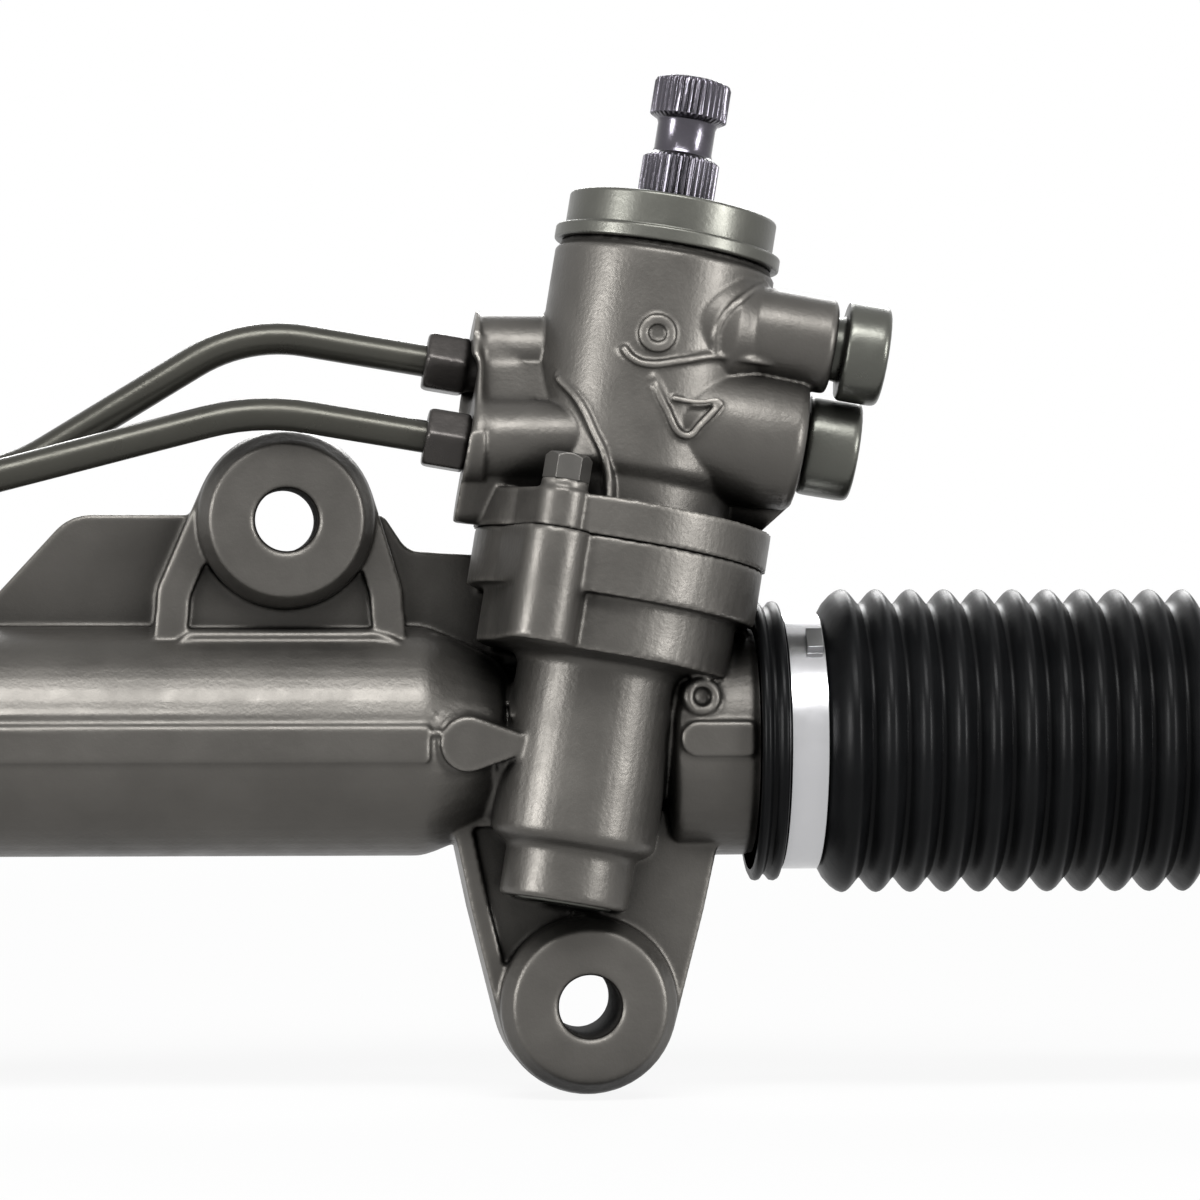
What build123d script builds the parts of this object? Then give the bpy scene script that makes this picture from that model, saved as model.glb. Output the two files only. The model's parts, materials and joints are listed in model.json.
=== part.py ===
from build123d import *
import math
import os

os.makedirs("parts", exist_ok=True)

# All sizes are in millimetres and angles in degrees.
# The origin is the middle of the lower mounting hole on the pinion side.
# X runs along the rack, Y points away from the front, Z is up.

# Fits
PRESS = 0.02
RUNNING = 0.05
SLIP = 0.3

# Rack and its stroke
RACK_HEIGHT = 65.0
RACK_RADIUS = 12.5
TRAVEL = 72.5
STOP_GAP = 0.5

# Rack and pinion teeth
MODULE = 2.0
PINION_TEETH = 8
PRESSURE_ANGLE = 25.0
PROFILE_SHIFT = 0.5
BACKLASH = 0.15
RACK_PITCH_LINE = 7.5
RACK_TIP = 9.5
RACK_ROOT = 5.0
PINION_TIP_RADIUS = 10.5
PINION_ROOT_RADIUS = 6.5
RACK_GAPS = 27

# Pinion axis: leans along the rack and tilts back
LEAN = 9.4
TILT = 4.0

# Casting round the rack
TUBE_RADIUS = 28.5
THROAT_RADIUS = 18.5
DOME_START = -40.0
DOME_END = -21.0
THROAT_END = 19.0
CHAMBER_RADIUS = 14.0
RIGHT_END = 62.0
LEFT_END = -382.0
SPIGOT_RADIUS = 28.0
SPIGOT_LENGTH = 22.0
BUSH_SEAT_RADIUS = 16.0
BUSH_SEAT_DEPTH = 24.0
BUSH_LENGTH = 18.0
RIB_WIDTH = 9.0
RIB_RISE = 0.8
PAD_RISE = 0.6
ROUND_PAD_X = -30.5
ROUND_PAD_RADIUS = 6.8
PAD_TAIL_END = -17.0
SLOT_PAD_X = 32.0
SLOT_PAD_LENGTH = 20.5
SLOT_PAD_WIDTH = 8.5
BACK_WEB_FACE = 12.0
BACK_WEB_THICKNESS = 8.0
BACK_WEB_RIGHT = -8.0
BACK_WEB_RIGHT_TOP = 45.5
BACK_WEB_STEP = -44.0
BACK_WEB_STEP_LENGTH = 6.0
BACK_WEB_SLOPE = -128.0
BACK_WEB_LEFT = -175.0
BACK_WEB_LEFT_TOP = 24.0

# Power cylinder inside the tube
CYLINDER_RADIUS = 20.5
CYLINDER_RIGHT = -172.0
SEAL_SEAT_RADIUS = 18.0
SEAL_WIDTH = 8.0
BULKHEAD_FACE = -345.0
BULKHEAD_LENGTH = 29.0
CIRCLIP_WIDTH = 1.6
CIRCLIP_DEPTH = 1.5
PISTON_CENTRE = -258.0
PISTON_WIDTH = 12.0

# Pinion tower, heights along the pinion axis from the rack line
NECK_RADIUS = 16.0
NECK_BOTTOM = -41.3
NECK_TOP = -28.5
TOWER_RADIUS = 20.5
COLLAR_RADIUS = 31.5
COLLAR_BOTTOM = 19.3
FLANGE_RADIUS = 36.0
FLANGE_BOTTOM = 33.0
JOINT = 47.0
FLANGE_TOP = 56.5
VALVE_FLANGE_RADIUS = 36.6
BARREL_RADIUS = 27.5
BARREL_BOTTOM = 66.5
BARREL_TOP = 121.5
LIP_RADIUS = 28.2
LIP_TOP = 125.0
COVER_RADIUS = 26.0
COVER_BEARING_RADIUS = 14.0
COVER_SEAL_RADIUS = 15.0
COVER_MOUTH_RADIUS = 16.5
COVER_TOP = 133.7
PINION_BORE_RADIUS = 12.0
CAVITY_RADIUS = 22.0
PILOT_RADIUS = 24.5
PILOT_DEPTH = 6.0
VALVE_BORE_RADIUS = 21.5

# Flange bolts, in the tower's own x and y
BOLT_X = -17.6
BOLT_Y = -30.8
LOBE_RADIUS = 8.5
BOLT_RADIUS = 3.0
BOLT_HEAD_FLATS = 10.0
BOLT_HEAD_HEIGHT = 6.5
BOLT_DEPTH = 20.0
EAR_TOP = 59.0
EAR_RADIUS = 5.8

# Bearings
UPPER_BEARING_BOTTOM = 16.0
BEARING_WIDTH = 11.0
BEARING_RADIUS = 17.5
BEARING_BORE = 7.5
BALL_RADIUS = 2.6
BALL_CIRCLE = 12.4
BALLS = 9
LOWER_BEARING_BOTTOM = -34.0
LOWER_BEARING_WIDTH = 10.0
LOWER_BEARING_RADIUS = 9.0
LOWER_JOURNAL = 6.0
END_PLUG_RADIUS = 12.0
END_PLUG_HEIGHT = 5.0

# Valve, pinion shaft and input shaft
SLEEVE_RADIUS = 20.0
SLEEVE_BOTTOM = 58.0
SLEEVE_TOP = 110.0
VALVE_RADIUS = 11.0
PINION_FACE_BOTTOM = -17.0
PINION_FACE_TOP = 14.0
PINION_HUB_BOTTOM = 51.0
PINION_HUB_RADIUS = 18.0
INPUT_BOTTOM = 53.0
INPUT_RADIUS = 9.0
TORSION_BAR_RADIUS = 3.0
TORSION_END_RADIUS = 4.5
TORSION_BOTTOM = 36.0
TORSION_TOP = 160.0
SPLINE_RADIUS = 9.6
SPLINE_NECK_RADIUS = 7.25
LOWER_SPLINE_TOP = 147.0
HEAD_BOTTOM = 155.5
INPUT_TOP = 166.0

# Hydraulic ports on the valve housing, heights along the pinion axis
PRESSURE_PORT = 104.4
PRESSURE_PORT_Y = -9.5
PRESSURE_PASSAGE = 100.4
PRESSURE_BOSS_RADIUS = 11.4
PRESSURE_BOSS_END = 43.6
PRESSURE_PLUG_RADIUS = 12.5
PRESSURE_PLUG_GAP = 2.4
PRESSURE_PLUG_END = 56.8
RETURN_PORT = 81.2
RETURN_PORT_Y = 2.0
RETURN_PASSAGE = 77.5
RETURN_BOSS_RADIUS = 13.2
RETURN_BOSS_END = 40.0
RETURN_PLUG_RADIUS = 12.6
RETURN_PLUG_GAP = 1.2
RETURN_PLUG_END = 54.4
PORT_HOLE_RADIUS = 8.0
PORT_HOLE_BOTTOM = 26.0
PORT_FOOT_RISE = 5.0
FAIRING_HEIGHT = 64.5
FAIRING_RADIUS = 8.0
FAIRING_SLANT_TOP = 67.5
FAIRING_SLANT_BOTTOM = 32.5

# Pipe ports on the left of the valve housing
PIPE_RADIUS = 4.0
UPPER_PIPE_T = 86.2
UPPER_PIPE_Y = 4.0
UPPER_PIPE_FACE = -44.5
LOWER_PIPE_T = 65.8
LOWER_PIPE_Y = -12.5
LOWER_PIPE_FACE = -42.0
UPPER_BOSS_RADIUS = 10.5
LOWER_BOSS_RADIUS = 10.0
UPPER_BOSS_RISE = 3.0
LOWER_BOSS_RISE = 0.7
BOSS_OVERHANG = 8.0
BOSS_REACH = 36.0
BOSS_WALL_INSET = 3.5
PORT_PLATE_RIM = 0.9
PORT_PLATE_THICKNESS = 2.6
BOSS_TAIL_DROP = 14.0
BOSS_TAIL_BACK = 6.0
BOSS_TAIL_RADIUS = 6.5
BOSS_TAIL_REACH = 26.0
BALL_PLUG_X = -1.0
BALL_PLUG_T = 98.6
BALL_PLUG_RADIUS = 4.6
BALL_PLUG_HEIGHT = 2.6
ORING_DROP = 4.0
ORING_GROOVE_WIDTH = 2.2
ORING_GROOVE_DEPTH = 1.6
NUT_FLATS = 14.0
NUT_LENGTH = 10.5
NUT_STUB_RADIUS = 6.0
NUT_STUB_LENGTH = 9.0

# Raised ridges on the front of the valve barrel
RIDGE_RADIUS = 1.5
RIDGE_SINK = 0.9

# Route of the pipes, heights above the rack line
UPPER_PIPE_REACH = 100.0
UPPER_PIPE_SLOPE_X = -140.0
UPPER_PIPE_SLOPE_RISE = 68.0
UPPER_PIPE_DROP_RISE = 61.0
LOWER_PIPE_REACH = 94.0
LOWER_PIPE_SLOPE_X = -150.0
LOWER_PIPE_SLOPE_RISE = 64.3
LOWER_PIPE_RUN_X = -200.0
LOWER_PIPE_RUN_Y = -22.0
LOWER_PIPE_RUN_RISE = 58.0
LOWER_PIPE_END_X = -290.0
LOWER_PIPE_END_Y = -12.0
LOWER_PIPE_DROP_RISE = 56.0

# Pipe ports on the tube
NEAR_PORT_X = -177.0
FAR_PORT_X = -340.0
TUBE_PORT_Y = -6.0
TUBE_PORT_RADIUS = 10.5
TUBE_PORT_TOP = 34.0
OIL_HOLE_RADIUS = 2.5

# Mounting lugs
MOUNT_HOLE_RADIUS = 7.75
MOUNT_CHAMFER = 1.0
MOUNT_FACE_RADIUS = 18.8
LOWER_MOUNT_HALF = 22.0
UPPER_MOUNT_HALF = 20.0
UPPER_MOUNT_X = -74.75
UPPER_MOUNT_Z = 120.0
LEFT_MOUNT_X = -330.0
LUG_RADIUS = 22.3
LUG_FOOT = 34.0
LOWER_FOOT_DEPTH = 17.0
UPPER_FOOT_LEFT = 33.0
UPPER_FOOT_RIGHT = 30.2
UPPER_FOOT_RISE = 20.5
RIM_HALF = 13.0
UPPER_RIM = 8.0
LOWER_RIM = 4.5
WEB_HALF = 8.3

# Rack guide behind the pinion
GUIDE_RADIUS = 15.0
GUIDE_BOSS_RADIUS = 21.0
GUIDE_BOSS_END = 46.0
GUIDE_END = 31.0
GUIDE_PLUG_END = 55.0
GUIDE_NUT_FLATS = 44.0
GUIDE_NUT_WIDTH = 6.0

# Bellows and clamps
CUFF_RING_RADIUS = 35.0
CUFF_RING_WIDTH = 7.0
CUFF_START = 20.5
CUFF_RADIUS = 31.2
BAND_WIDTH = 9.0
BAND_THICKNESS = 0.8
SHOULDER_LENGTH = 6.0
CREST_RADIUS = 38.0
FOLD_DEPTH = 3.8
PITCH = 8.65
FULL_FOLDS = 11
TAPER_FOLDS = 7
SMALL_CREST_RADIUS = 19.0
BELLOWS_WALL = 2.0
SMALL_CUFF_RADIUS = 10.0
SMALL_CUFF_LENGTH = 13.0
SMALL_BAND_WIDTH = 5.0

# Inner ball joints and tie rods
SOCKET_RADIUS = 17.5
BALL_OFFSET = 24.0
SOCKET_LIP = 7.0
SOCKET_STUD_RADIUS = 7.5
SOCKET_STUD_LENGTH = 18.0
TIE_BALL_RADIUS = 11.0
SEAT_THICKNESS = 2.0
SEAT_OPENING = 62.0
TIE_NECK_RADIUS = 6.2
TIE_SHANK_RADIUS = 6.6
TIE_ROD_RADIUS = 7.0
TIE_ROD_LENGTH = 250.0
JAM_NUT_FLATS = 22.0
JAM_NUT_WIDTH = 9.0
JAM_NUT_FROM_END = 48.0

lean = math.radians(LEAN)
tilt = math.radians(TILT)
PITCH_RADIUS = MODULE * PINION_TEETH / 2
PINION_DISTANCE = PITCH_RADIUS + PROFILE_SHIFT * MODULE + RACK_PITCH_LINE
RACK_RIGHT = RIGHT_END + TRAVEL + STOP_GAP
RACK_LEFT = LEFT_END - TRAVEL - STOP_GAP

# The rack line, the pinion axis, and the line from the rack out through its guide
RACK_LINE = Plane(origin=(0, 0, RACK_HEIGHT), x_dir=(0, 0, 1), z_dir=(1, 0, 0))
TOWER = Plane(
    origin=(
        0,
        -PINION_DISTANCE * math.cos(tilt),
        RACK_HEIGHT + PINION_DISTANCE * math.sin(tilt),
    ),
    x_dir=(
        math.cos(lean),
        -math.sin(lean) * math.sin(tilt),
        -math.sin(lean) * math.cos(tilt),
    ),
    z_dir=(
        math.sin(lean),
        math.cos(lean) * math.sin(tilt),
        math.cos(lean) * math.cos(tilt),
    ),
)
GUIDE_LINE = Plane(origin=(0, 0, RACK_HEIGHT), x_dir=(1, 0, 0), z_dir=TOWER.y_dir)


def tower_point(x, y, height):
    """A point given in the tower's own x, y and height."""
    return TOWER.from_local_coords(Vector(x, y, height))


def end_line(side):
    """The rack line, outwards from the right (1) or left (-1) end of the housing."""
    start = RIGHT_END if side > 0 else LEFT_END
    return Plane(origin=(start, 0, RACK_HEIGHT), x_dir=(0, 0, 1), z_dir=(side, 0, 0))


def outline(points):
    """A closed outline of (x, y) or (x, y, corner radius) points."""
    corners = [point[2] if len(point) == 3 else 0 for point in points]
    FilletPolyline(*[point[:2] for point in points], radius=corners, close=True)


def turn(plane, points, mode=Mode.ADD):
    """Revolve (radius, height) points round the plane's z axis."""
    section = Plane(origin=plane.origin, x_dir=plane.x_dir, z_dir=-plane.y_dir)
    with BuildSketch(section) as profile:
        with BuildLine():
            outline(points)
        make_face()
    revolve(profile.sketch, axis=Axis(plane.origin, plane.z_dir), mode=mode)


def rod(plane, radius, start, end, mode=Mode.ADD):
    """A round bar along the plane's z axis, from start to end."""
    turn(plane, [(0, start), (radius, start), (radius, end), (0, end)], mode)


def save(piece, name):
    """Label a finished piece and write its file."""
    piece.part.label = name
    export_step(piece.part, f"parts/{name}.step")


def lug_shape(x, z, foot_left, foot_right, foot_z, swell):
    """The rounded eye of a lug, drawn out to its foot on the tube with swelling arms."""
    middle = (foot_left + foot_right) / 2
    with Locations((x, z)):
        Circle(LUG_RADIUS)
    with Locations((middle, foot_z)):
        Rectangle(foot_right - foot_left, 1)
    with Locations((middle, (z + foot_z) / 2)):
        Rectangle(swell * (foot_right - foot_left), 1)
    make_hull()


def lug(x, z, foot_left, foot_right, foot_z, swell, rim, pocket_right, half_length):
    """A mounting lug with a pocket on each face, left of pocket_right, and a thick eye."""
    with BuildSketch(Plane.XZ) as shape:
        lug_shape(x, z, foot_left, foot_right, foot_z, swell)
    extrude(shape.sketch, amount=RIM_HALF, both=True)
    with BuildSketch(Plane.XZ) as pocket:
        lug_shape(x, z, foot_left, foot_right, foot_z, swell)
        offset(amount=-rim, kind=Kind.INTERSECTION)
        with Locations((pocket_right, (z + foot_z) / 2)):
            Rectangle(4 * LUG_RADIUS, 4 * LUG_RADIUS, align=(Align.MAX, Align.CENTER), mode=Mode.INTERSECT)
    for side in (1, -1):
        floor = Plane.XZ.offset(side * WEB_HALF)
        extrude(
            floor.from_local_coords(pocket.sketch_local),
            amount=side * (RIM_HALF - WEB_HALF + 1),
            mode=Mode.SUBTRACT,
        )
    eye = Plane(origin=(x, 0, z), x_dir=(1, 0, 0), z_dir=(0, 1, 0))
    shoulder = half_length - 5.0
    turn(
        eye,
        [
            (0, -half_length),
            (MOUNT_FACE_RADIUS, -half_length, 0.8),
            (LUG_RADIUS - 0.4, -shoulder, 2.0),
            (LUG_RADIUS - 0.4, shoulder, 2.0),
            (MOUNT_FACE_RADIUS, half_length, 0.8),
            (0, half_length),
        ],
    )


def mount_hole(x, z, half_length):
    """The bolt hole of a lug, chamfered at both ends."""
    eye = Plane(origin=(x, 0, z), x_dir=(1, 0, 0), z_dir=(0, 1, 0))
    mouth = MOUNT_HOLE_RADIUS + MOUNT_CHAMFER
    turn(
        eye,
        [
            (0, -half_length - 1),
            (mouth + 1, -half_length - 1),
            (MOUNT_HOLE_RADIUS, MOUNT_CHAMFER - half_length),
            (MOUNT_HOLE_RADIUS, half_length - MOUNT_CHAMFER),
            (mouth + 1, half_length + 1),
            (0, half_length + 1),
        ],
        Mode.SUBTRACT,
    )


def tube_port(x):
    """The line of a pipe fitting that stands on the tube."""
    return Plane(origin=(x, TUBE_PORT_Y, RACK_HEIGHT), x_dir=(1, 0, 0), z_dir=(0, 0, 1))


def bolt_line(side):
    """The line of a flange bolt, at the front left (1) or opposite it (-1)."""
    return Plane(
        origin=tower_point(side * BOLT_X, side * BOLT_Y, 0), x_dir=TOWER.x_dir, z_dir=TOWER.z_dir
    )


def flange_shape(radius, lobe_radius):
    """A round flange with a bolt lobe at the front left and another opposite."""
    Circle(radius)
    for side in (1, -1):
        with BuildSketch(mode=Mode.PRIVATE) as lobe:
            with Locations((side * BOLT_X, side * BOLT_Y)):
                Circle(lobe_radius)
            with Locations((side * -15.0, side * -4.0)):
                Circle(radius - 16.5)
            make_hull()
        add(lobe.sketch)


# Gear housing: one casting with the rack tube, the pinion tower and the mounting lugs
with BuildPart() as gear_housing:
    lower_foot = RACK_HEIGHT - LOWER_FOOT_DEPTH
    lug(0, 0, -LUG_FOOT, LUG_FOOT, lower_foot, 0.85, LOWER_RIM, -4.0, LOWER_MOUNT_HALF)
    lug(
        LEFT_MOUNT_X,
        0,
        LEFT_MOUNT_X - LUG_FOOT,
        LEFT_MOUNT_X + LUG_FOOT,
        lower_foot,
        0.85,
        LOWER_RIM,
        LEFT_MOUNT_X + LUG_FOOT,
        LOWER_MOUNT_HALF,
    )
    lug(
        UPPER_MOUNT_X,
        UPPER_MOUNT_Z,
        UPPER_MOUNT_X - UPPER_FOOT_LEFT,
        UPPER_MOUNT_X + UPPER_FOOT_RIGHT,
        RACK_HEIGHT + UPPER_FOOT_RISE,
        0.95,
        UPPER_RIM,
        UPPER_MOUNT_X + UPPER_FOOT_RIGHT,
        UPPER_MOUNT_HALF,
    )
    turn(
        RACK_LINE,
        [
            (0, LEFT_END),
            (SPIGOT_RADIUS, LEFT_END, 1.0),
            (SPIGOT_RADIUS, LEFT_END + SPIGOT_LENGTH),
            (TUBE_RADIUS, LEFT_END + SPIGOT_LENGTH),
            (TUBE_RADIUS, DOME_START, 14.0),
            (THROAT_RADIUS + 2.0, DOME_END, 1.5),
            (THROAT_RADIUS, DOME_END, 0.5),
            (THROAT_RADIUS, THROAT_END, 1.0),
            (TUBE_RADIUS, THROAT_END + 2.0, 3.0),
            (TUBE_RADIUS, RIGHT_END - SPIGOT_LENGTH),
            (SPIGOT_RADIUS, RIGHT_END - SPIGOT_LENGTH),
            (SPIGOT_RADIUS, RIGHT_END, 1.0),
            (0, RIGHT_END),
        ],
    )
    # Parting rib along the front of the tube
    with BuildSketch(Plane.XZ.offset(TUBE_RADIUS - 6.0)):
        with Locations(((LEFT_END + SPIGOT_LENGTH + DOME_START) / 2, RACK_HEIGHT)):
            Rectangle(DOME_START - LEFT_END - SPIGOT_LENGTH, RIB_WIDTH)
    extrude(amount=6.0 + RIB_RISE)
    # Cast pad with its tail, left of the pinion
    with BuildSketch(Plane.XZ):
        with Locations((ROUND_PAD_X, RACK_HEIGHT)):
            Circle(ROUND_PAD_RADIUS)
        with Locations((PAD_TAIL_END, RACK_HEIGHT)):
            Circle(ROUND_PAD_RADIUS / 3)
        make_hull()
    extrude(amount=TUBE_RADIUS + PAD_RISE)
    # Half-round pad right of the pinion
    with BuildSketch(Plane.XZ):
        with Locations((SLOT_PAD_X, RACK_HEIGHT + 1.2)):
            SlotOverall(SLOT_PAD_LENGTH, SLOT_PAD_WIDTH)
    extrude(amount=TUBE_RADIUS + 2 * PAD_RISE)
    # Stiffening web along the back, from the tower to beyond the upper lug
    with BuildSketch(Plane.XZ.offset(-BACK_WEB_FACE)):
        with BuildLine():
            outline(
                [
                    (BACK_WEB_RIGHT, RACK_HEIGHT),
                    (BACK_WEB_RIGHT, RACK_HEIGHT + BACK_WEB_RIGHT_TOP),
                    (BACK_WEB_STEP, RACK_HEIGHT + BACK_WEB_RIGHT_TOP + 2.0, 6.0),
                    (BACK_WEB_STEP - BACK_WEB_STEP_LENGTH, UPPER_MOUNT_Z + 1.5, 3.0),
                    (BACK_WEB_SLOPE, UPPER_MOUNT_Z + 1.5, 12.0),
                    (BACK_WEB_LEFT + 19.0, RACK_HEIGHT + BACK_WEB_LEFT_TOP + 2.0, 8.0),
                    (BACK_WEB_LEFT, RACK_HEIGHT + BACK_WEB_LEFT_TOP),
                    (BACK_WEB_LEFT, RACK_HEIGHT),
                ]
            )
        make_face()
    extrude(amount=BACK_WEB_THICKNESS)
    turn(
        TOWER,
        [
            (0, NECK_BOTTOM),
            (NECK_RADIUS, NECK_BOTTOM, 1.2),
            (NECK_RADIUS, NECK_TOP, 2.0),
            (TOWER_RADIUS, NECK_TOP + 2.5, 3.0),
            (TOWER_RADIUS, COLLAR_BOTTOM - 1.5, 3.0),
            (COLLAR_RADIUS - 1, COLLAR_BOTTOM + 1, 1.5),
            (COLLAR_RADIUS - 1, JOINT),
            (0, JOINT),
        ],
    )
    with BuildSketch(TOWER.offset(FLANGE_BOTTOM)):
        flange_shape(FLANGE_RADIUS, LOBE_RADIUS)
    extrude(amount=JOINT - FLANGE_BOTTOM)
    with BuildSketch(TOWER.offset(COLLAR_BOTTOM)):
        flange_shape(COLLAR_RADIUS, LOBE_RADIUS)
    extrude(amount=FLANGE_BOTTOM - COLLAR_BOTTOM)
    # Rack guide boss
    turn(
        GUIDE_LINE,
        [
            (0, 0),
            (GUIDE_BOSS_RADIUS + 2.0, 0),
            (GUIDE_BOSS_RADIUS + 2.0, 22.0, 3.0),
            (GUIDE_BOSS_RADIUS, 26.0, 3.0),
            (GUIDE_BOSS_RADIUS, GUIDE_BOSS_END, 1.0),
            (0, GUIDE_BOSS_END),
        ],
    )
    for x in (NEAR_PORT_X, FAR_PORT_X):
        turn(
            tube_port(x),
            [(0, 22), (TUBE_PORT_RADIUS + 2, 22), (TUBE_PORT_RADIUS, TUBE_PORT_TOP, 1), (0, TUBE_PORT_TOP)],
        )
    # Turned seats for the bellows
    for side in (1, -1):
        turn(
            end_line(side),
            [
                (SPIGOT_RADIUS, 1.0 - SPIGOT_LENGTH),
                (SPIGOT_RADIUS + 1, -SPIGOT_LENGTH),
                (CUFF_RING_RADIUS + SLIP, -SPIGOT_LENGTH),
                (CUFF_RING_RADIUS + SLIP, 1),
                (SPIGOT_RADIUS, 1),
            ],
            Mode.SUBTRACT,
        )
    # Inside of the rack tube
    rod(RACK_LINE, CHAMBER_RADIUS, CYLINDER_RIGHT, RIGHT_END + 1, Mode.SUBTRACT)
    rod(RACK_LINE, BUSH_SEAT_RADIUS + PRESS, RIGHT_END - BUSH_SEAT_DEPTH, RIGHT_END + 1, Mode.SUBTRACT)
    rod(RACK_LINE, SEAL_SEAT_RADIUS + PRESS, CYLINDER_RIGHT - 1, CYLINDER_RIGHT + SEAL_WIDTH, Mode.SUBTRACT)
    rod(RACK_LINE, CYLINDER_RADIUS, LEFT_END - 1, CYLINDER_RIGHT, Mode.SUBTRACT)
    bulkhead_back = BULKHEAD_FACE - BULKHEAD_LENGTH
    rod(
        RACK_LINE,
        CYLINDER_RADIUS + CIRCLIP_DEPTH,
        bulkhead_back - CIRCLIP_WIDTH - 2 * PRESS,
        bulkhead_back,
        Mode.SUBTRACT,
    )
    # Inside of the pinion tower
    rod(TOWER, END_PLUG_RADIUS + PRESS, NECK_BOTTOM - 1, NECK_BOTTOM + END_PLUG_HEIGHT, Mode.SUBTRACT)
    rod(TOWER, LOWER_BEARING_RADIUS + PRESS, NECK_BOTTOM, PINION_FACE_BOTTOM, Mode.SUBTRACT)
    rod(
        TOWER,
        PINION_BORE_RADIUS,
        LOWER_BEARING_BOTTOM + LOWER_BEARING_WIDTH,
        UPPER_BEARING_BOTTOM + 1,
        Mode.SUBTRACT,
    )
    rod(
        TOWER,
        BEARING_RADIUS + PRESS,
        UPPER_BEARING_BOTTOM,
        UPPER_BEARING_BOTTOM + BEARING_WIDTH + 1,
        Mode.SUBTRACT,
    )
    rod(TOWER, CAVITY_RADIUS, UPPER_BEARING_BOTTOM + BEARING_WIDTH, JOINT + 1, Mode.SUBTRACT)
    rod(TOWER, PILOT_RADIUS + PRESS, JOINT - PILOT_DEPTH, JOINT + 1, Mode.SUBTRACT)
    rod(GUIDE_LINE, GUIDE_RADIUS + RUNNING, 0, GUIDE_BOSS_END + 1, Mode.SUBTRACT)
    for x in (NEAR_PORT_X, FAR_PORT_X):
        rod(tube_port(x), OIL_HOLE_RADIUS, CYLINDER_RADIUS - 6, TUBE_PORT_TOP, Mode.SUBTRACT)
        rod(
            tube_port(x),
            NUT_STUB_RADIUS + PRESS,
            TUBE_PORT_TOP - NUT_STUB_LENGTH - 0.5,
            TUBE_PORT_TOP + 1,
            Mode.SUBTRACT,
        )
    for side in (1, -1):
        rod(bolt_line(side), BOLT_RADIUS + PRESS, JOINT - BOLT_DEPTH - 2, JOINT + 1, Mode.SUBTRACT)
    mount_hole(0, 0, LOWER_MOUNT_HALF)
    mount_hole(UPPER_MOUNT_X, UPPER_MOUNT_Z, UPPER_MOUNT_HALF)
    mount_hole(LEFT_MOUNT_X, 0, LOWER_MOUNT_HALF)
save(gear_housing, "gear_housing")


def port_line(side, y, height):
    """The line of a port square to the pinion axis, leaving right (1) or left (-1)."""
    return Plane(
        origin=tower_point(0, y, height), x_dir=TOWER.y_dir, z_dir=TOWER.x_dir * side
    )


def cast_boss_line(face, y, height):
    """A line parallel to the rack through the middle of a pipe port's face."""
    return Plane(origin=tower_point(face, y, height), x_dir=(0, 0, 1), z_dir=(1, 0, 0))


def barrel_front(x, height):
    """A plane on the front of the valve barrel, facing the front."""
    return Plane(
        origin=tower_point(x, 1.0 - BARREL_RADIUS, height), x_dir=TOWER.x_dir, z_dir=-TOWER.y_dir
    )


def barrel_ridge(points):
    """A rounded ridge on the front of the barrel, through points of its x and height."""
    radius = BARREL_RADIUS - RIDGE_SINK
    places = [tower_point(x, -math.sqrt(radius * radius - x * x), height) for x, height in points]
    with BuildLine() as path:
        Spline(*places)
    with BuildSketch(Plane(origin=path.line @ 0, z_dir=path.line % 0)) as section:
        Circle(RIDGE_RADIUS)
    sweep(section.sketch, path=path.line)


UPPER_BOSS = cast_boss_line(UPPER_PIPE_FACE, UPPER_PIPE_Y, UPPER_PIPE_T + UPPER_BOSS_RISE)
LOWER_BOSS = cast_boss_line(LOWER_PIPE_FACE, LOWER_PIPE_Y, LOWER_PIPE_T + LOWER_BOSS_RISE)
ORING_BOTTOM = JOINT - ORING_DROP
PIPE_PORTS = (
    (port_line(-1, UPPER_PIPE_Y, UPPER_PIPE_T), -UPPER_PIPE_FACE),
    (port_line(-1, LOWER_PIPE_Y, LOWER_PIPE_T), -LOWER_PIPE_FACE),
)
PRESSURE_LINE = port_line(1, PRESSURE_PORT_Y, PRESSURE_PORT)
RETURN_LINE = port_line(1, RETURN_PORT_Y, RETURN_PORT)
PLUGGED_PORTS = (
    (PRESSURE_LINE, PRESSURE_BOSS_END, PRESSURE_BOSS_RADIUS),
    (RETURN_LINE, RETURN_BOSS_END, RETURN_BOSS_RADIUS),
)

# Cast fairing from the boss of the return port down to the flange, cut back at its end
with BuildPart() as return_fairing:
    with BuildSketch(RETURN_LINE.offset(VALVE_BORE_RADIUS - 8.0)):
        Circle(RETURN_BOSS_RADIUS - 0.5)
        with Locations((0, FAIRING_HEIGHT - RETURN_PORT)):
            Circle(FAIRING_RADIUS)
        make_hull()
    extrude(amount=RETURN_BOSS_END - VALVE_BORE_RADIUS + 8.0)
    with BuildSketch(Plane(origin=TOWER.origin, x_dir=TOWER.x_dir, z_dir=-TOWER.y_dir)):
        with BuildLine():
            outline(
                [
                    (FAIRING_SLANT_BOTTOM, FLANGE_TOP - 1.0),
                    (RETURN_BOSS_END + 2.0, FAIRING_SLANT_TOP),
                    (RETURN_BOSS_END + 20.0, FAIRING_SLANT_TOP),
                    (RETURN_BOSS_END + 20.0, JOINT),
                    (FAIRING_SLANT_BOTTOM, JOINT),
                ]
            )
        make_face()
    extrude(amount=2 * RETURN_BOSS_RADIUS, both=True, mode=Mode.SUBTRACT)

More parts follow.
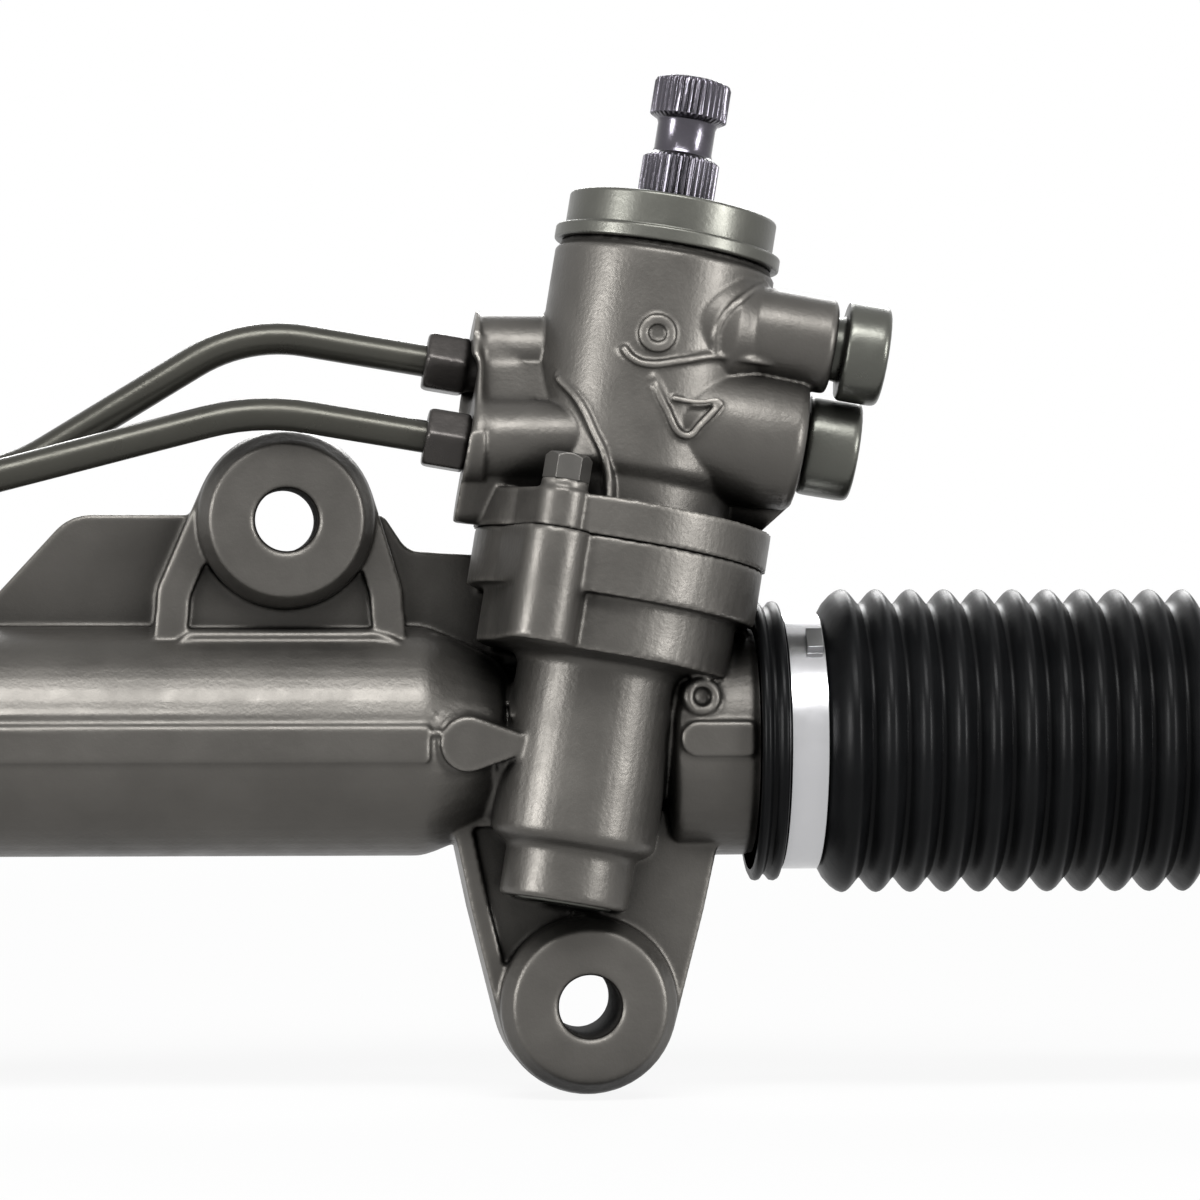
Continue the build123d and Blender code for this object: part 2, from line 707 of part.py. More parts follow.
# Valve housing: the casting with the oil ports, bolted on top of the gear housing
with BuildPart() as valve_housing:
    # Cast bosses for the two pipes, with their connecting wall and the fairing below
    for line, radius in ((UPPER_BOSS, UPPER_BOSS_RADIUS), (LOWER_BOSS, LOWER_BOSS_RADIUS)):
        rod(line, radius, -BOSS_OVERHANG, BOSS_REACH)
    upper = UPPER_BOSS.to_local_coords(LOWER_BOSS.origin)
    with BuildSketch(UPPER_BOSS.offset(-BOSS_OVERHANG)):
        Circle(UPPER_BOSS_RADIUS - BOSS_WALL_INSET)
        with Locations((upper.X, upper.Y)):
            Circle(LOWER_BOSS_RADIUS - BOSS_WALL_INSET)
        make_hull()
    extrude(amount=BOSS_REACH)
    with BuildSketch(UPPER_BOSS.offset(-BOSS_OVERHANG)):
        Circle(UPPER_BOSS_RADIUS + PORT_PLATE_RIM)
        with Locations((upper.X, upper.Y)):
            Circle(LOWER_BOSS_RADIUS + PORT_PLATE_RIM)
        make_hull()
    extrude(amount=BOSS_OVERHANG + PORT_PLATE_THICKNESS)
    with BuildSketch(LOWER_BOSS.offset(-BOSS_OVERHANG)):
        Circle(LOWER_BOSS_RADIUS - 1.5)
        with Locations((-BOSS_TAIL_DROP, -BOSS_TAIL_BACK)):
            Circle(BOSS_TAIL_RADIUS)
        make_hull()
    extrude(amount=BOSS_TAIL_REACH)
    for line, face in PIPE_PORTS:
        with BuildSketch(line.offset(face)):
            Rectangle(36.0, 44.0)
        extrude(amount=20.0, mode=Mode.SUBTRACT)
    rod(TOWER, 2 * FLANGE_RADIUS, 0, JOINT, Mode.SUBTRACT)
    # Bosses of the pressure and return ports
    for line, end, radius in PLUGGED_PORTS:
        turn(
            line,
            [
                (0, 0),
                (radius + PORT_FOOT_RISE, 0),
                (radius + PORT_FOOT_RISE, VALVE_BORE_RADIUS - 3.0, 3.0),
                (radius, BARREL_RADIUS + 0.5, 6.0),
                (radius, end, 1.2),
                (0, end),
            ],
        )
    add(return_fairing.part)
    # Barrel
    turn(
        TOWER,
        [
            (0, JOINT - PILOT_DEPTH + SLIP),
            (PILOT_RADIUS, JOINT - PILOT_DEPTH + SLIP, 0.5),
            (PILOT_RADIUS, JOINT),
            (VALVE_FLANGE_RADIUS - 1.0, JOINT),
            (VALVE_FLANGE_RADIUS - 1.0, FLANGE_TOP - 1.0),
            (BARREL_RADIUS - 2.0, FLANGE_TOP - 1.0, 1.0),
            (BARREL_RADIUS - 2.0, BARREL_BOTTOM - 3.5, 1.0),
            (BARREL_RADIUS, BARREL_BOTTOM, 3.0),
            (BARREL_RADIUS, BARREL_TOP - 2.4),
            (BARREL_RADIUS - 1.2, BARREL_TOP - 1.2),
            (BARREL_RADIUS - 1.2, BARREL_TOP),
            (0, BARREL_TOP),
        ],
    )
    with BuildSketch(TOWER.offset(JOINT)):
        flange_shape(VALVE_FLANGE_RADIUS, EAR_RADIUS + 0.7)
    extrude(amount=FLANGE_TOP - JOINT)
    for side in (1, -1):
        rod(bolt_line(side), EAR_RADIUS, JOINT, EAR_TOP)
    # Ridges beside the pipe ports, round the pressure port and over the return port
    barrel_ridge([(-22.6, 86.0), (-16.6, 79.3), (-12.0, 72.1), (-9.1, 67.2), (-6.6, 60.0), (-6.2, 55.0)])
    barrel_ridge([(24.0, 116.4), (19.1, 111.8), (14.8, 106.2), (13.6, 102.1), (14.2, 96.4)])
    barrel_ridge([(-8.7, 94.1), (-6.1, 91.7), (-2.3, 90.8), (5.6, 92.9), (14.2, 96.4), (19.0, 97.5)])
    barrel_ridge([(-0.8, 88.3), (4.0, 80.9), (6.4, 77.0), (9.0, 75.0), (12.9, 79.5), (17.3, 84.8)])
    # Round boss of the ball plug on the front
    with BuildSketch(barrel_front(BALL_PLUG_X, BALL_PLUG_T)):
        Circle(BALL_PLUG_RADIUS)
    extrude(amount=BALL_PLUG_HEIGHT)
    with BuildSketch(barrel_front(BALL_PLUG_X, BALL_PLUG_T).offset(BALL_PLUG_HEIGHT)):
        Circle(BALL_PLUG_RADIUS / 2)
    extrude(amount=-BALL_PLUG_HEIGHT / 2, mode=Mode.SUBTRACT)
    # Inside of the barrel and its ports
    rod(TOWER, VALVE_BORE_RADIUS, JOINT - PILOT_DEPTH - 1, BARREL_TOP + 1, Mode.SUBTRACT)
    turn(
        TOWER,
        [(PILOT_RADIUS - ORING_GROOVE_DEPTH, ORING_BOTTOM), (PILOT_RADIUS + 1, ORING_BOTTOM),
         (PILOT_RADIUS + 1, ORING_BOTTOM + ORING_GROOVE_WIDTH),
         (PILOT_RADIUS - ORING_GROOVE_DEPTH, ORING_BOTTOM + ORING_GROOVE_WIDTH)],
        Mode.SUBTRACT,
    )
    for line, end, radius in PLUGGED_PORTS:
        rod(line, PORT_HOLE_RADIUS, PORT_HOLE_BOTTOM, end + 1, Mode.SUBTRACT)
    for y, height in ((PRESSURE_PORT_Y, PRESSURE_PASSAGE), (RETURN_PORT_Y, RETURN_PASSAGE)):
        rod(port_line(1, y, height), OIL_HOLE_RADIUS, VALVE_RADIUS + 1, PORT_HOLE_BOTTOM + 1, Mode.SUBTRACT)
    for line, face in PIPE_PORTS:
        rod(line, OIL_HOLE_RADIUS, VALVE_RADIUS + 1, face, Mode.SUBTRACT)
        rod(line, NUT_STUB_RADIUS + PRESS, face - NUT_STUB_LENGTH - 0.5, face + 1, Mode.SUBTRACT)
    for side in (1, -1):
        rod(bolt_line(side), BOLT_RADIUS + SLIP, JOINT - 1, EAR_TOP + 1, Mode.SUBTRACT)
save(valve_housing, "valve_housing")


def hexagon(plane, flats, start, end, turned_off=1.0):
    """A hexagonal prism along the plane's z axis, with its corners turned off at the far end."""
    corner = flats / math.sqrt(3)
    with BuildSketch(plane.offset(start)) as section:
        RegularPolygon(radius=flats / 2, side_count=6, major_radius=False)
    extrude(section.sketch, amount=end - start)
    turn(
        plane,
        [(corner - turned_off, end), (corner + 1, end), (corner + 1, end - turned_off - 1)],
        Mode.SUBTRACT,
    )


# Flange bolts
with BuildPart() as valve_housing_bolts:
    for side in (1, -1):
        line = bolt_line(side)
        hexagon(line, BOLT_HEAD_FLATS, EAR_TOP, EAR_TOP + BOLT_HEAD_HEIGHT)
        rod(line, BOLT_RADIUS, JOINT - BOLT_DEPTH, EAR_TOP)
save(valve_housing_bolts, "valve_housing_bolts")

# Seal between the two housings
with BuildPart() as housing_oring:
    bottom = ORING_BOTTOM + PRESS
    top = ORING_BOTTOM + ORING_GROOVE_WIDTH - PRESS
    inside = PILOT_RADIUS - ORING_GROOVE_DEPTH + PRESS
    outside = PILOT_RADIUS - PRESS
    turn(TOWER, [(inside, bottom, 0.5), (outside, bottom, 0.5), (outside, top, 0.5), (inside, top, 0.5)])
save(housing_oring, "housing_oring")

# Top cover, screwed into the barrel, with the input shaft's bearing and seal
INPUT_BEARING_BOTTOM = SLEEVE_TOP + 2.0
INPUT_BEARING_TOP = INPUT_BEARING_BOTTOM + 10.0
INPUT_SEAL_TOP = COVER_TOP - 1.5
with BuildPart() as top_cover:
    turn(
        TOWER,
        [
            (COVER_BEARING_RADIUS + PRESS, INPUT_BEARING_BOTTOM),
            (VALVE_BORE_RADIUS - PRESS, INPUT_BEARING_BOTTOM, 0.5),
            (VALVE_BORE_RADIUS - PRESS, BARREL_TOP),
            (LIP_RADIUS, BARREL_TOP, 0.6),
            (LIP_RADIUS, LIP_TOP, 0.6),
            (COVER_RADIUS, LIP_TOP, 0.5),
            (COVER_RADIUS, COVER_TOP, 0.9),
            (COVER_MOUTH_RADIUS, COVER_TOP, 0.5),
            (COVER_MOUTH_RADIUS, INPUT_SEAL_TOP),
            (COVER_SEAL_RADIUS + PRESS, INPUT_SEAL_TOP),
            (COVER_SEAL_RADIUS + PRESS, INPUT_BEARING_TOP + 2.5),
            (INPUT_RADIUS + 1.5, INPUT_BEARING_TOP + 2.5),
            (INPUT_RADIUS + 1.5, INPUT_BEARING_TOP + PRESS),
            (COVER_BEARING_RADIUS + PRESS, INPUT_BEARING_TOP + PRESS),
        ],
    )
save(top_cover, "top_cover")

with BuildPart() as input_bearing:
    turn(
        TOWER,
        [(INPUT_RADIUS + RUNNING, INPUT_BEARING_BOTTOM + 0.5),
         (COVER_BEARING_RADIUS, INPUT_BEARING_BOTTOM + 0.5),
         (COVER_BEARING_RADIUS, INPUT_BEARING_TOP), (INPUT_RADIUS + RUNNING, INPUT_BEARING_TOP)],
    )
save(input_bearing, "input_bearing")

with BuildPart() as input_seal:
    turn(
        TOWER,
        [(INPUT_RADIUS + RUNNING, INPUT_BEARING_TOP + 3.0), (COVER_SEAL_RADIUS, INPUT_BEARING_TOP + 2.5),
         (COVER_SEAL_RADIUS, INPUT_SEAL_TOP - 0.2, 0.4), (INPUT_RADIUS + 2.0, INPUT_SEAL_TOP - 0.2, 0.4),
         (INPUT_RADIUS + 1.2, INPUT_BEARING_TOP + 6.0), (INPUT_RADIUS + RUNNING, INPUT_BEARING_TOP + 6.0)],
    )
save(input_seal, "input_seal")


def plug(line, face, end, radius, gap):
    """A screw plug with a round head, in a port that ends at face."""
    head = face + gap
    turn(
        line,
        [
            (0, face - 12.0),
            (PORT_HOLE_RADIUS - PRESS, face - 12.0, 0.8),
            (PORT_HOLE_RADIUS - PRESS, head),
            (radius, head, 0.8),
            (radius, end, 1.6),
            (radius - 3.0, end),
            (radius - 4.0, end - 1.2),
            (0, end - 1.2),
        ],
    )


with BuildPart() as pressure_port_plug:
    plug(PRESSURE_LINE, PRESSURE_BOSS_END, PRESSURE_PLUG_END, PRESSURE_PLUG_RADIUS, PRESSURE_PLUG_GAP)
save(pressure_port_plug, "pressure_port_plug")

with BuildPart() as return_port_plug:
    plug(RETURN_LINE, RETURN_BOSS_END, RETURN_PLUG_END, RETURN_PLUG_RADIUS, RETURN_PLUG_GAP)
save(return_port_plug, "return_port_plug")


def pipe(port, face, reach, points, radii, tube_line, drop_rise):
    """A bent steel pipe from a port on the valve housing to one on the tube."""
    start = port.offset(face - NUT_STUB_LENGTH).origin
    first_bend = port.offset(reach).origin
    last_bend = tube_line.offset(drop_rise).origin
    end = tube_line.offset(TUBE_PORT_TOP - NUT_STUB_LENGTH).origin
    with BuildLine() as path:
        FilletPolyline(start, first_bend, *points, last_bend, end, radius=radii)
    with BuildSketch(Plane(origin=start, z_dir=port.z_dir)) as section:
        Circle(PIPE_RADIUS)
    sweep(section.sketch, path=path.line)


# Pipes from the valve to the two ends of the power cylinder
with BuildPart() as upper_pipe:
    pipe(
        PIPE_PORTS[0][0],
        PIPE_PORTS[0][1],
        UPPER_PIPE_REACH,
        [(UPPER_PIPE_SLOPE_X, TUBE_PORT_Y, RACK_HEIGHT + UPPER_PIPE_SLOPE_RISE)],
        [40.0, 40.0, 12.0],
        tube_port(NEAR_PORT_X),
        UPPER_PIPE_DROP_RISE,
    )
save(upper_pipe, "upper_pipe")

with BuildPart() as lower_pipe:
    pipe(
        PIPE_PORTS[1][0],
        PIPE_PORTS[1][1],
        LOWER_PIPE_REACH,
        [
            (LOWER_PIPE_SLOPE_X, LOWER_PIPE_RUN_Y - 2.0, RACK_HEIGHT + LOWER_PIPE_SLOPE_RISE),
            (LOWER_PIPE_RUN_X, LOWER_PIPE_RUN_Y, RACK_HEIGHT + LOWER_PIPE_RUN_RISE),
            (LOWER_PIPE_END_X, LOWER_PIPE_END_Y, RACK_HEIGHT + LOWER_PIPE_RUN_RISE - 1.0),
        ],
        [60.0, 60.0, 80.0, 80.0, 12.0],
        tube_port(FAR_PORT_X),
        LOWER_PIPE_DROP_RISE,
    )
save(lower_pipe, "lower_pipe")


def pipe_nut(line, face):
    """A flare nut screwed into a port, with room for its pipe."""
    rod(line, NUT_STUB_RADIUS, face - NUT_STUB_LENGTH, face)
    hexagon(line, NUT_FLATS, face, face + NUT_LENGTH)
    rod(line, PIPE_RADIUS + PRESS, face - NUT_STUB_LENGTH - 1, face + NUT_LENGTH + 1, Mode.SUBTRACT)


with BuildPart() as valve_pipe_nuts:
    for line, face in PIPE_PORTS:
        pipe_nut(line, face)
save(valve_pipe_nuts, "valve_pipe_nuts")

with BuildPart() as cylinder_pipe_nuts:
    for x in (NEAR_PORT_X, FAR_PORT_X):
        pipe_nut(tube_port(x), TUBE_PORT_TOP)
save(cylinder_pipe_nuts, "cylinder_pipe_nuts")

# Bearings of the pinion
with BuildPart() as pinion_bearing_outer:
    turn(
        TOWER,
        [(BALL_CIRCLE + 1.6, UPPER_BEARING_BOTTOM), (BEARING_RADIUS, UPPER_BEARING_BOTTOM, 0.6),
         (BEARING_RADIUS, UPPER_BEARING_BOTTOM + BEARING_WIDTH, 0.6),
         (BALL_CIRCLE + 1.6, UPPER_BEARING_BOTTOM + BEARING_WIDTH)],
    )
    with BuildSketch(Plane(origin=TOWER.origin, x_dir=TOWER.x_dir, z_dir=-TOWER.y_dir)) as groove:
        with Locations((BALL_CIRCLE, UPPER_BEARING_BOTTOM + BEARING_WIDTH / 2)):
            Circle(BALL_RADIUS + PRESS)
    revolve(groove.sketch, axis=Axis(TOWER.origin, TOWER.z_dir), mode=Mode.SUBTRACT)
save(pinion_bearing_outer, "pinion_bearing_outer")

with BuildPart() as pinion_bearing_inner:
    turn(
        TOWER,
        [(BEARING_BORE, UPPER_BEARING_BOTTOM, 0.5), (BALL_CIRCLE - 1.6, UPPER_BEARING_BOTTOM),
         (BALL_CIRCLE - 1.6, UPPER_BEARING_BOTTOM + BEARING_WIDTH),
         (BEARING_BORE, UPPER_BEARING_BOTTOM + BEARING_WIDTH, 0.5)],
    )
    with BuildSketch(Plane(origin=TOWER.origin, x_dir=TOWER.x_dir, z_dir=-TOWER.y_dir)) as groove:
        with Locations((BALL_CIRCLE, UPPER_BEARING_BOTTOM + BEARING_WIDTH / 2)):
            Circle(BALL_RADIUS + RUNNING)
    revolve(groove.sketch, axis=Axis(TOWER.origin, TOWER.z_dir), mode=Mode.SUBTRACT)
save(pinion_bearing_inner, "pinion_bearing_inner")

with BuildPart(TOWER.offset(UPPER_BEARING_BOTTOM + BEARING_WIDTH / 2)) as pinion_bearing_balls:
    with PolarLocations(BALL_CIRCLE, BALLS):
        Sphere(BALL_RADIUS)
save(pinion_bearing_balls, "pinion_bearing_balls")

with BuildPart() as pinion_lower_bearing:
    turn(
        TOWER,
        [
            (LOWER_JOURNAL + RUNNING, LOWER_BEARING_BOTTOM),
            (LOWER_BEARING_RADIUS, LOWER_BEARING_BOTTOM, 0.4),
            (LOWER_BEARING_RADIUS, LOWER_BEARING_BOTTOM + LOWER_BEARING_WIDTH, 0.4),
            (LOWER_JOURNAL + RUNNING, LOWER_BEARING_BOTTOM + LOWER_BEARING_WIDTH),
        ],
    )
save(pinion_lower_bearing, "pinion_lower_bearing")

with BuildPart() as pinion_end_plug:
    turn(
        TOWER,
        [
            (0, NECK_BOTTOM + 0.6),
            (END_PLUG_RADIUS - 4.0, NECK_BOTTOM + 0.6),
            (END_PLUG_RADIUS - 3.0, NECK_BOTTOM - 0.4),
            (END_PLUG_RADIUS, NECK_BOTTOM - 0.4, 0.6),
            (END_PLUG_RADIUS, NECK_BOTTOM + END_PLUG_HEIGHT),
            (LOWER_BEARING_RADIUS - 0.5, NECK_BOTTOM + END_PLUG_HEIGHT),
            (LOWER_BEARING_RADIUS - 0.5, LOWER_BEARING_BOTTOM),
            (LOWER_JOURNAL + 0.8, LOWER_BEARING_BOTTOM),
            (LOWER_JOURNAL + 0.8, NECK_BOTTOM + END_PLUG_HEIGHT),
            (0, NECK_BOTTOM + END_PLUG_HEIGHT),
        ],
    )
save(pinion_end_plug, "pinion_end_plug")


def involute(radius):
    """The involute angle, in radians, where a flank crosses a radius."""
    pressure = math.acos(min(1.0, BASE_RADIUS / radius))
    return math.tan(pressure) - pressure


# Pinion: straight teeth on an axis that leans, turned in one piece with its shaft
pressure = math.radians(PRESSURE_ANGLE)
BASE_RADIUS = PITCH_RADIUS * math.cos(pressure)
tooth_width = MODULE * (math.pi / 2 + 2 * PROFILE_SHIFT * math.tan(pressure)) - BACKLASH
half_tooth = tooth_width / (2 * PITCH_RADIUS) + involute(PITCH_RADIUS)
FLANK_POINTS = 6
with BuildSketch() as tooth:
    flank = []
    for step in range(FLANK_POINTS):
        radius = BASE_RADIUS + (PINION_TIP_RADIUS - BASE_RADIUS) * step / (FLANK_POINTS - 1)
        angle = half_tooth - involute(radius)
        flank.append((radius * math.sin(angle), radius * math.cos(angle)))
    foot = flank[0][0] * (PINION_ROOT_RADIUS - 0.5) / BASE_RADIUS
    with BuildLine():
        Spline(*flank)
        Spline(*[(-x, y) for x, y in flank])
        Line(flank[-1], (-flank[-1][0], flank[-1][1]))
        Polyline(flank[0], (foot, PINION_ROOT_RADIUS - 0.5), (-foot, PINION_ROOT_RADIUS - 0.5),
                 (-flank[0][0], flank[0][1]))
    make_face()

with BuildPart() as pinion_shaft:
    with BuildSketch(TOWER.offset(PINION_FACE_BOTTOM)):
        Circle(PINION_ROOT_RADIUS)
        with PolarLocations(0, PINION_TEETH):
            add(tooth.sketch)
    extrude(amount=PINION_FACE_TOP - PINION_FACE_BOTTOM)
    turn(
        TOWER,
        [
            (0, LOWER_BEARING_BOTTOM),
            (LOWER_JOURNAL, LOWER_BEARING_BOTTOM, 0.5),
            (LOWER_JOURNAL, PINION_FACE_BOTTOM),
            (PINION_ROOT_RADIUS, PINION_FACE_BOTTOM),
            (PINION_ROOT_RADIUS, PINION_FACE_TOP),
            (BEARING_BORE + 1.5, PINION_FACE_TOP + 0.5),
            (BEARING_BORE + 1.5, UPPER_BEARING_BOTTOM),
            (BEARING_BORE - PRESS, UPPER_BEARING_BOTTOM),
            (BEARING_BORE - PRESS, UPPER_BEARING_BOTTOM + BEARING_WIDTH + 4.0),
            (BEARING_BORE + 2.5, UPPER_BEARING_BOTTOM + BEARING_WIDTH + 6.0, 1.0),
            (BEARING_BORE + 2.5, PINION_HUB_BOTTOM, 1.5),
            (PINION_HUB_RADIUS, PINION_HUB_BOTTOM, 0.6),
            (PINION_HUB_RADIUS, SLEEVE_BOTTOM),
            (0, SLEEVE_BOTTOM),
        ],
    )
    rod(TOWER, INPUT_RADIUS + 0.5 + RUNNING, INPUT_BOTTOM - 1.0, SLEEVE_BOTTOM + 1, Mode.SUBTRACT)
    rod(TOWER, TORSION_END_RADIUS + PRESS, TORSION_BOTTOM, INPUT_BOTTOM, Mode.SUBTRACT)
save(pinion_shaft, "pinion_shaft")

with BuildPart() as pinion_nut:
    turn(
        TOWER,
        [
            (BEARING_BORE, UPPER_BEARING_BOTTOM + BEARING_WIDTH),
            (BEARING_BORE + 4.0, UPPER_BEARING_BOTTOM + BEARING_WIDTH),
            (BEARING_BORE + 4.0, UPPER_BEARING_BOTTOM + BEARING_WIDTH + 3.5),
            (BEARING_BORE, UPPER_BEARING_BOTTOM + BEARING_WIDTH + 3.5),
        ],
    )
save(pinion_nut, "pinion_nut")

# Rotary valve: sleeve on the pinion hub, its seal rings and the torsion bar
SEAL_RING_HEIGHTS = (59.6, 71.5, 80.8, 92.0, 105.0)
SEAL_RING_WIDTH = 2.2
OIL_GROOVE_HEIGHTS = (LOWER_PIPE_T, UPPER_PIPE_T, PRESSURE_PASSAGE)
OIL_GROOVE_HALF = 2.5
SLEEVE_GROOVE_RADIUS = SLEEVE_RADIUS - 1.6
with BuildPart() as valve_sleeve:
    turn(
        TOWER,
        [(VALVE_RADIUS + RUNNING, SLEEVE_BOTTOM), (SLEEVE_RADIUS, SLEEVE_BOTTOM, 0.5),
         (SLEEVE_RADIUS, SLEEVE_TOP, 0.5), (VALVE_RADIUS + RUNNING, SLEEVE_TOP)],
    )
    for height in SEAL_RING_HEIGHTS:
        turn(
            TOWER,
            [(SLEEVE_GROOVE_RADIUS, height), (SLEEVE_RADIUS + 1, height),
             (SLEEVE_RADIUS + 1, height + SEAL_RING_WIDTH + PRESS),
             (SLEEVE_GROOVE_RADIUS, height + SEAL_RING_WIDTH + PRESS)],
            Mode.SUBTRACT,
        )
    for height in OIL_GROOVE_HEIGHTS:
        turn(
            TOWER,
            [
                (SLEEVE_GROOVE_RADIUS, height - OIL_GROOVE_HALF),
                (SLEEVE_RADIUS + 1, height - OIL_GROOVE_HALF),
                (SLEEVE_RADIUS + 1, height + OIL_GROOVE_HALF),
                (SLEEVE_GROOVE_RADIUS, height + OIL_GROOVE_HALF),
            ],
            Mode.SUBTRACT,
        )
        with Locations(TOWER.offset(height)):
            with PolarLocations(0, 4):
                Cylinder(
                    1.5,
                    SLEEVE_RADIUS + 1,
                    rotation=(0, 90, 0),
                    align=(Align.CENTER, Align.CENTER, Align.MIN),
                    mode=Mode.SUBTRACT,
                )
save(valve_sleeve, "valve_sleeve")

with BuildPart() as sleeve_seal_rings:
    for height in SEAL_RING_HEIGHTS:
        turn(
            TOWER,
            [(SLEEVE_GROOVE_RADIUS + PRESS, height + PRESS), (VALVE_BORE_RADIUS - RUNNING, height + PRESS),
             (VALVE_BORE_RADIUS - RUNNING, height + SEAL_RING_WIDTH),
             (SLEEVE_GROOVE_RADIUS + PRESS, height + SEAL_RING_WIDTH)],
        )
save(sleeve_seal_rings, "sleeve_seal_rings")

TORSION_END = 12.0
with BuildPart() as torsion_bar:
    turn(
        TOWER,
        [
            (0, TORSION_BOTTOM),
            (TORSION_END_RADIUS, TORSION_BOTTOM, 0.4),
            (TORSION_END_RADIUS, TORSION_BOTTOM + TORSION_END),
            (TORSION_BAR_RADIUS, TORSION_BOTTOM + TORSION_END + 3.0),
            (TORSION_BAR_RADIUS, TORSION_TOP - TORSION_END - 3.0),
            (TORSION_END_RADIUS, TORSION_TOP - TORSION_END),
            (TORSION_END_RADIUS, TORSION_TOP, 0.4),
            (0, TORSION_TOP),
        ],
    )
save(torsion_bar, "torsion_bar")

# Input shaft: valve spool below, two splined lands with the pinch bolt's groove above
VALVE_SLOTS = 6
with BuildPart() as input_shaft:
    turn(
        TOWER,
        [
            (0, INPUT_BOTTOM),
            (INPUT_RADIUS + 0.5, INPUT_BOTTOM, 0.5),
            (INPUT_RADIUS + 0.5, SLEEVE_BOTTOM + 2.0),
            (VALVE_RADIUS, SLEEVE_BOTTOM + 2.0, 0.3),
            (VALVE_RADIUS, SLEEVE_TOP, 0.5),
            (INPUT_RADIUS, SLEEVE_TOP),
            (INPUT_RADIUS, COVER_TOP + 0.5),
            (SPLINE_RADIUS, COVER_TOP + 1.4),
            (SPLINE_RADIUS, LOWER_SPLINE_TOP - 1.2),
            (SPLINE_NECK_RADIUS, LOWER_SPLINE_TOP, 1.2),
            (SPLINE_NECK_RADIUS, HEAD_BOTTOM, 1.2),
            (SPLINE_RADIUS, HEAD_BOTTOM + 0.8),
            (SPLINE_RADIUS, INPUT_TOP - 1.0),
            (SPLINE_RADIUS - 1.0, INPUT_TOP),
            (0, INPUT_TOP),
        ],
    )
    with Locations(TOWER.offset((OIL_GROOVE_HEIGHTS[0] + OIL_GROOVE_HEIGHTS[-1]) / 2)):
        with PolarLocations(VALVE_RADIUS, VALVE_SLOTS):
            Box(1.6, 3.2, OIL_GROOVE_HEIGHTS[-1] - OIL_GROOVE_HEIGHTS[0] + 8.0, mode=Mode.SUBTRACT)
    bar_head = TORSION_TOP - TORSION_END - 4.0
    rod(TOWER, TORSION_END_RADIUS + 0.5, INPUT_BOTTOM - 1, bar_head, Mode.SUBTRACT)
    rod(TOWER, TORSION_END_RADIUS + RUNNING, bar_head - 1.0, TORSION_TOP + 0.3, Mode.SUBTRACT)
save(input_shaft, "input_shaft")

# Rack bar with its teeth towards the pinion
TOOTH_PITCH = math.pi * MODULE / math.cos(lean)
TOOTHED_LENGTH = RACK_GAPS * TOOTH_PITCH
slope = math.tan(pressure)
tip_gap = math.pi * MODULE / 2 + 2 * (RACK_TIP - RACK_PITCH_LINE) * slope
root_gap = math.pi * MODULE / 2 - 2 * (RACK_PITCH_LINE - RACK_ROOT) * slope
above_tip = RACK_TIP + 1.0
above_gap = tip_gap + 2.0 * slope
PISTON_CIRCLIP = 1.5
PISTON_GROOVE_RADIUS = RACK_RADIUS - 1.0
with BuildPart() as rack_bar:
    turn(
        RACK_LINE,
        [(0, RACK_LEFT), (RACK_RADIUS, RACK_LEFT, 1.0), (RACK_RADIUS, RACK_RIGHT, 1.0), (0, RACK_RIGHT)],
    )
    toothed_face = Plane(
        origin=RACK_LINE.origin - TOWER.y_dir * RACK_TIP, x_dir=(1, 0, 0), z_dir=-TOWER.y_dir
    )
    with BuildSketch(toothed_face):
        Rectangle(TOOTHED_LENGTH + TOOTH_PITCH, 4 * RACK_RADIUS)
    extrude(amount=RACK_RADIUS, mode=Mode.SUBTRACT)
    gaps = [
        Plane(
            origin=((index - (RACK_GAPS - 1) / 2) * TOOTH_PITCH, 0, RACK_HEIGHT),
            x_dir=TOWER.x_dir,
            z_dir=TOWER.z_dir,
        )
        for index in range(RACK_GAPS)
    ]
    with BuildSketch(*gaps):
        with BuildLine():
            Polyline(
                (-above_gap / 2, -above_tip),
                (-root_gap / 2, -RACK_ROOT),
                (root_gap / 2, -RACK_ROOT),
                (above_gap / 2, -above_tip),
                close=True,
            )
        make_face()
    extrude(amount=2 * RACK_RADIUS, both=True, mode=Mode.SUBTRACT)
    for side in (1, -1):
        groove = PISTON_CENTRE + side * (PISTON_WIDTH + PISTON_CIRCLIP + PRESS) / 2
        half = (PISTON_CIRCLIP + PRESS) / 2
        turn(
            RACK_LINE,
            [(PISTON_GROOVE_RADIUS, groove - half), (RACK_RADIUS + 1, groove - half),
             (RACK_RADIUS + 1, groove + half), (PISTON_GROOVE_RADIUS, groove + half)],
            Mode.SUBTRACT,
        )
    for end, inward in ((RACK_RIGHT, -1), (RACK_LEFT, 1)):
        depth = end + inward * (SOCKET_STUD_LENGTH + 2.0)
        rod(RACK_LINE, SOCKET_STUD_RADIUS, min(end, depth), max(end, depth), Mode.SUBTRACT)
save(rack_bar, "rack_bar")

with BuildPart() as piston:
    left = PISTON_CENTRE - PISTON_WIDTH / 2
    right = PISTON_CENTRE + PISTON_WIDTH / 2
    seat = CYLINDER_RADIUS - 2.5
    turn(
        RACK_LINE,
        [
            (RACK_RADIUS + PRESS, left),
            (CYLINDER_RADIUS - 0.3, left, 0.6),
            (CYLINDER_RADIUS - 0.3, PISTON_CENTRE - 2.0),
            (seat, PISTON_CENTRE - 2.0),
            (seat, PISTON_CENTRE + 2.0),
            (CYLINDER_RADIUS - 0.3, PISTON_CENTRE + 2.0),
            (CYLINDER_RADIUS - 0.3, right, 0.6),
            (RACK_RADIUS + PRESS, right),
        ],
    )
save(piston, "piston")

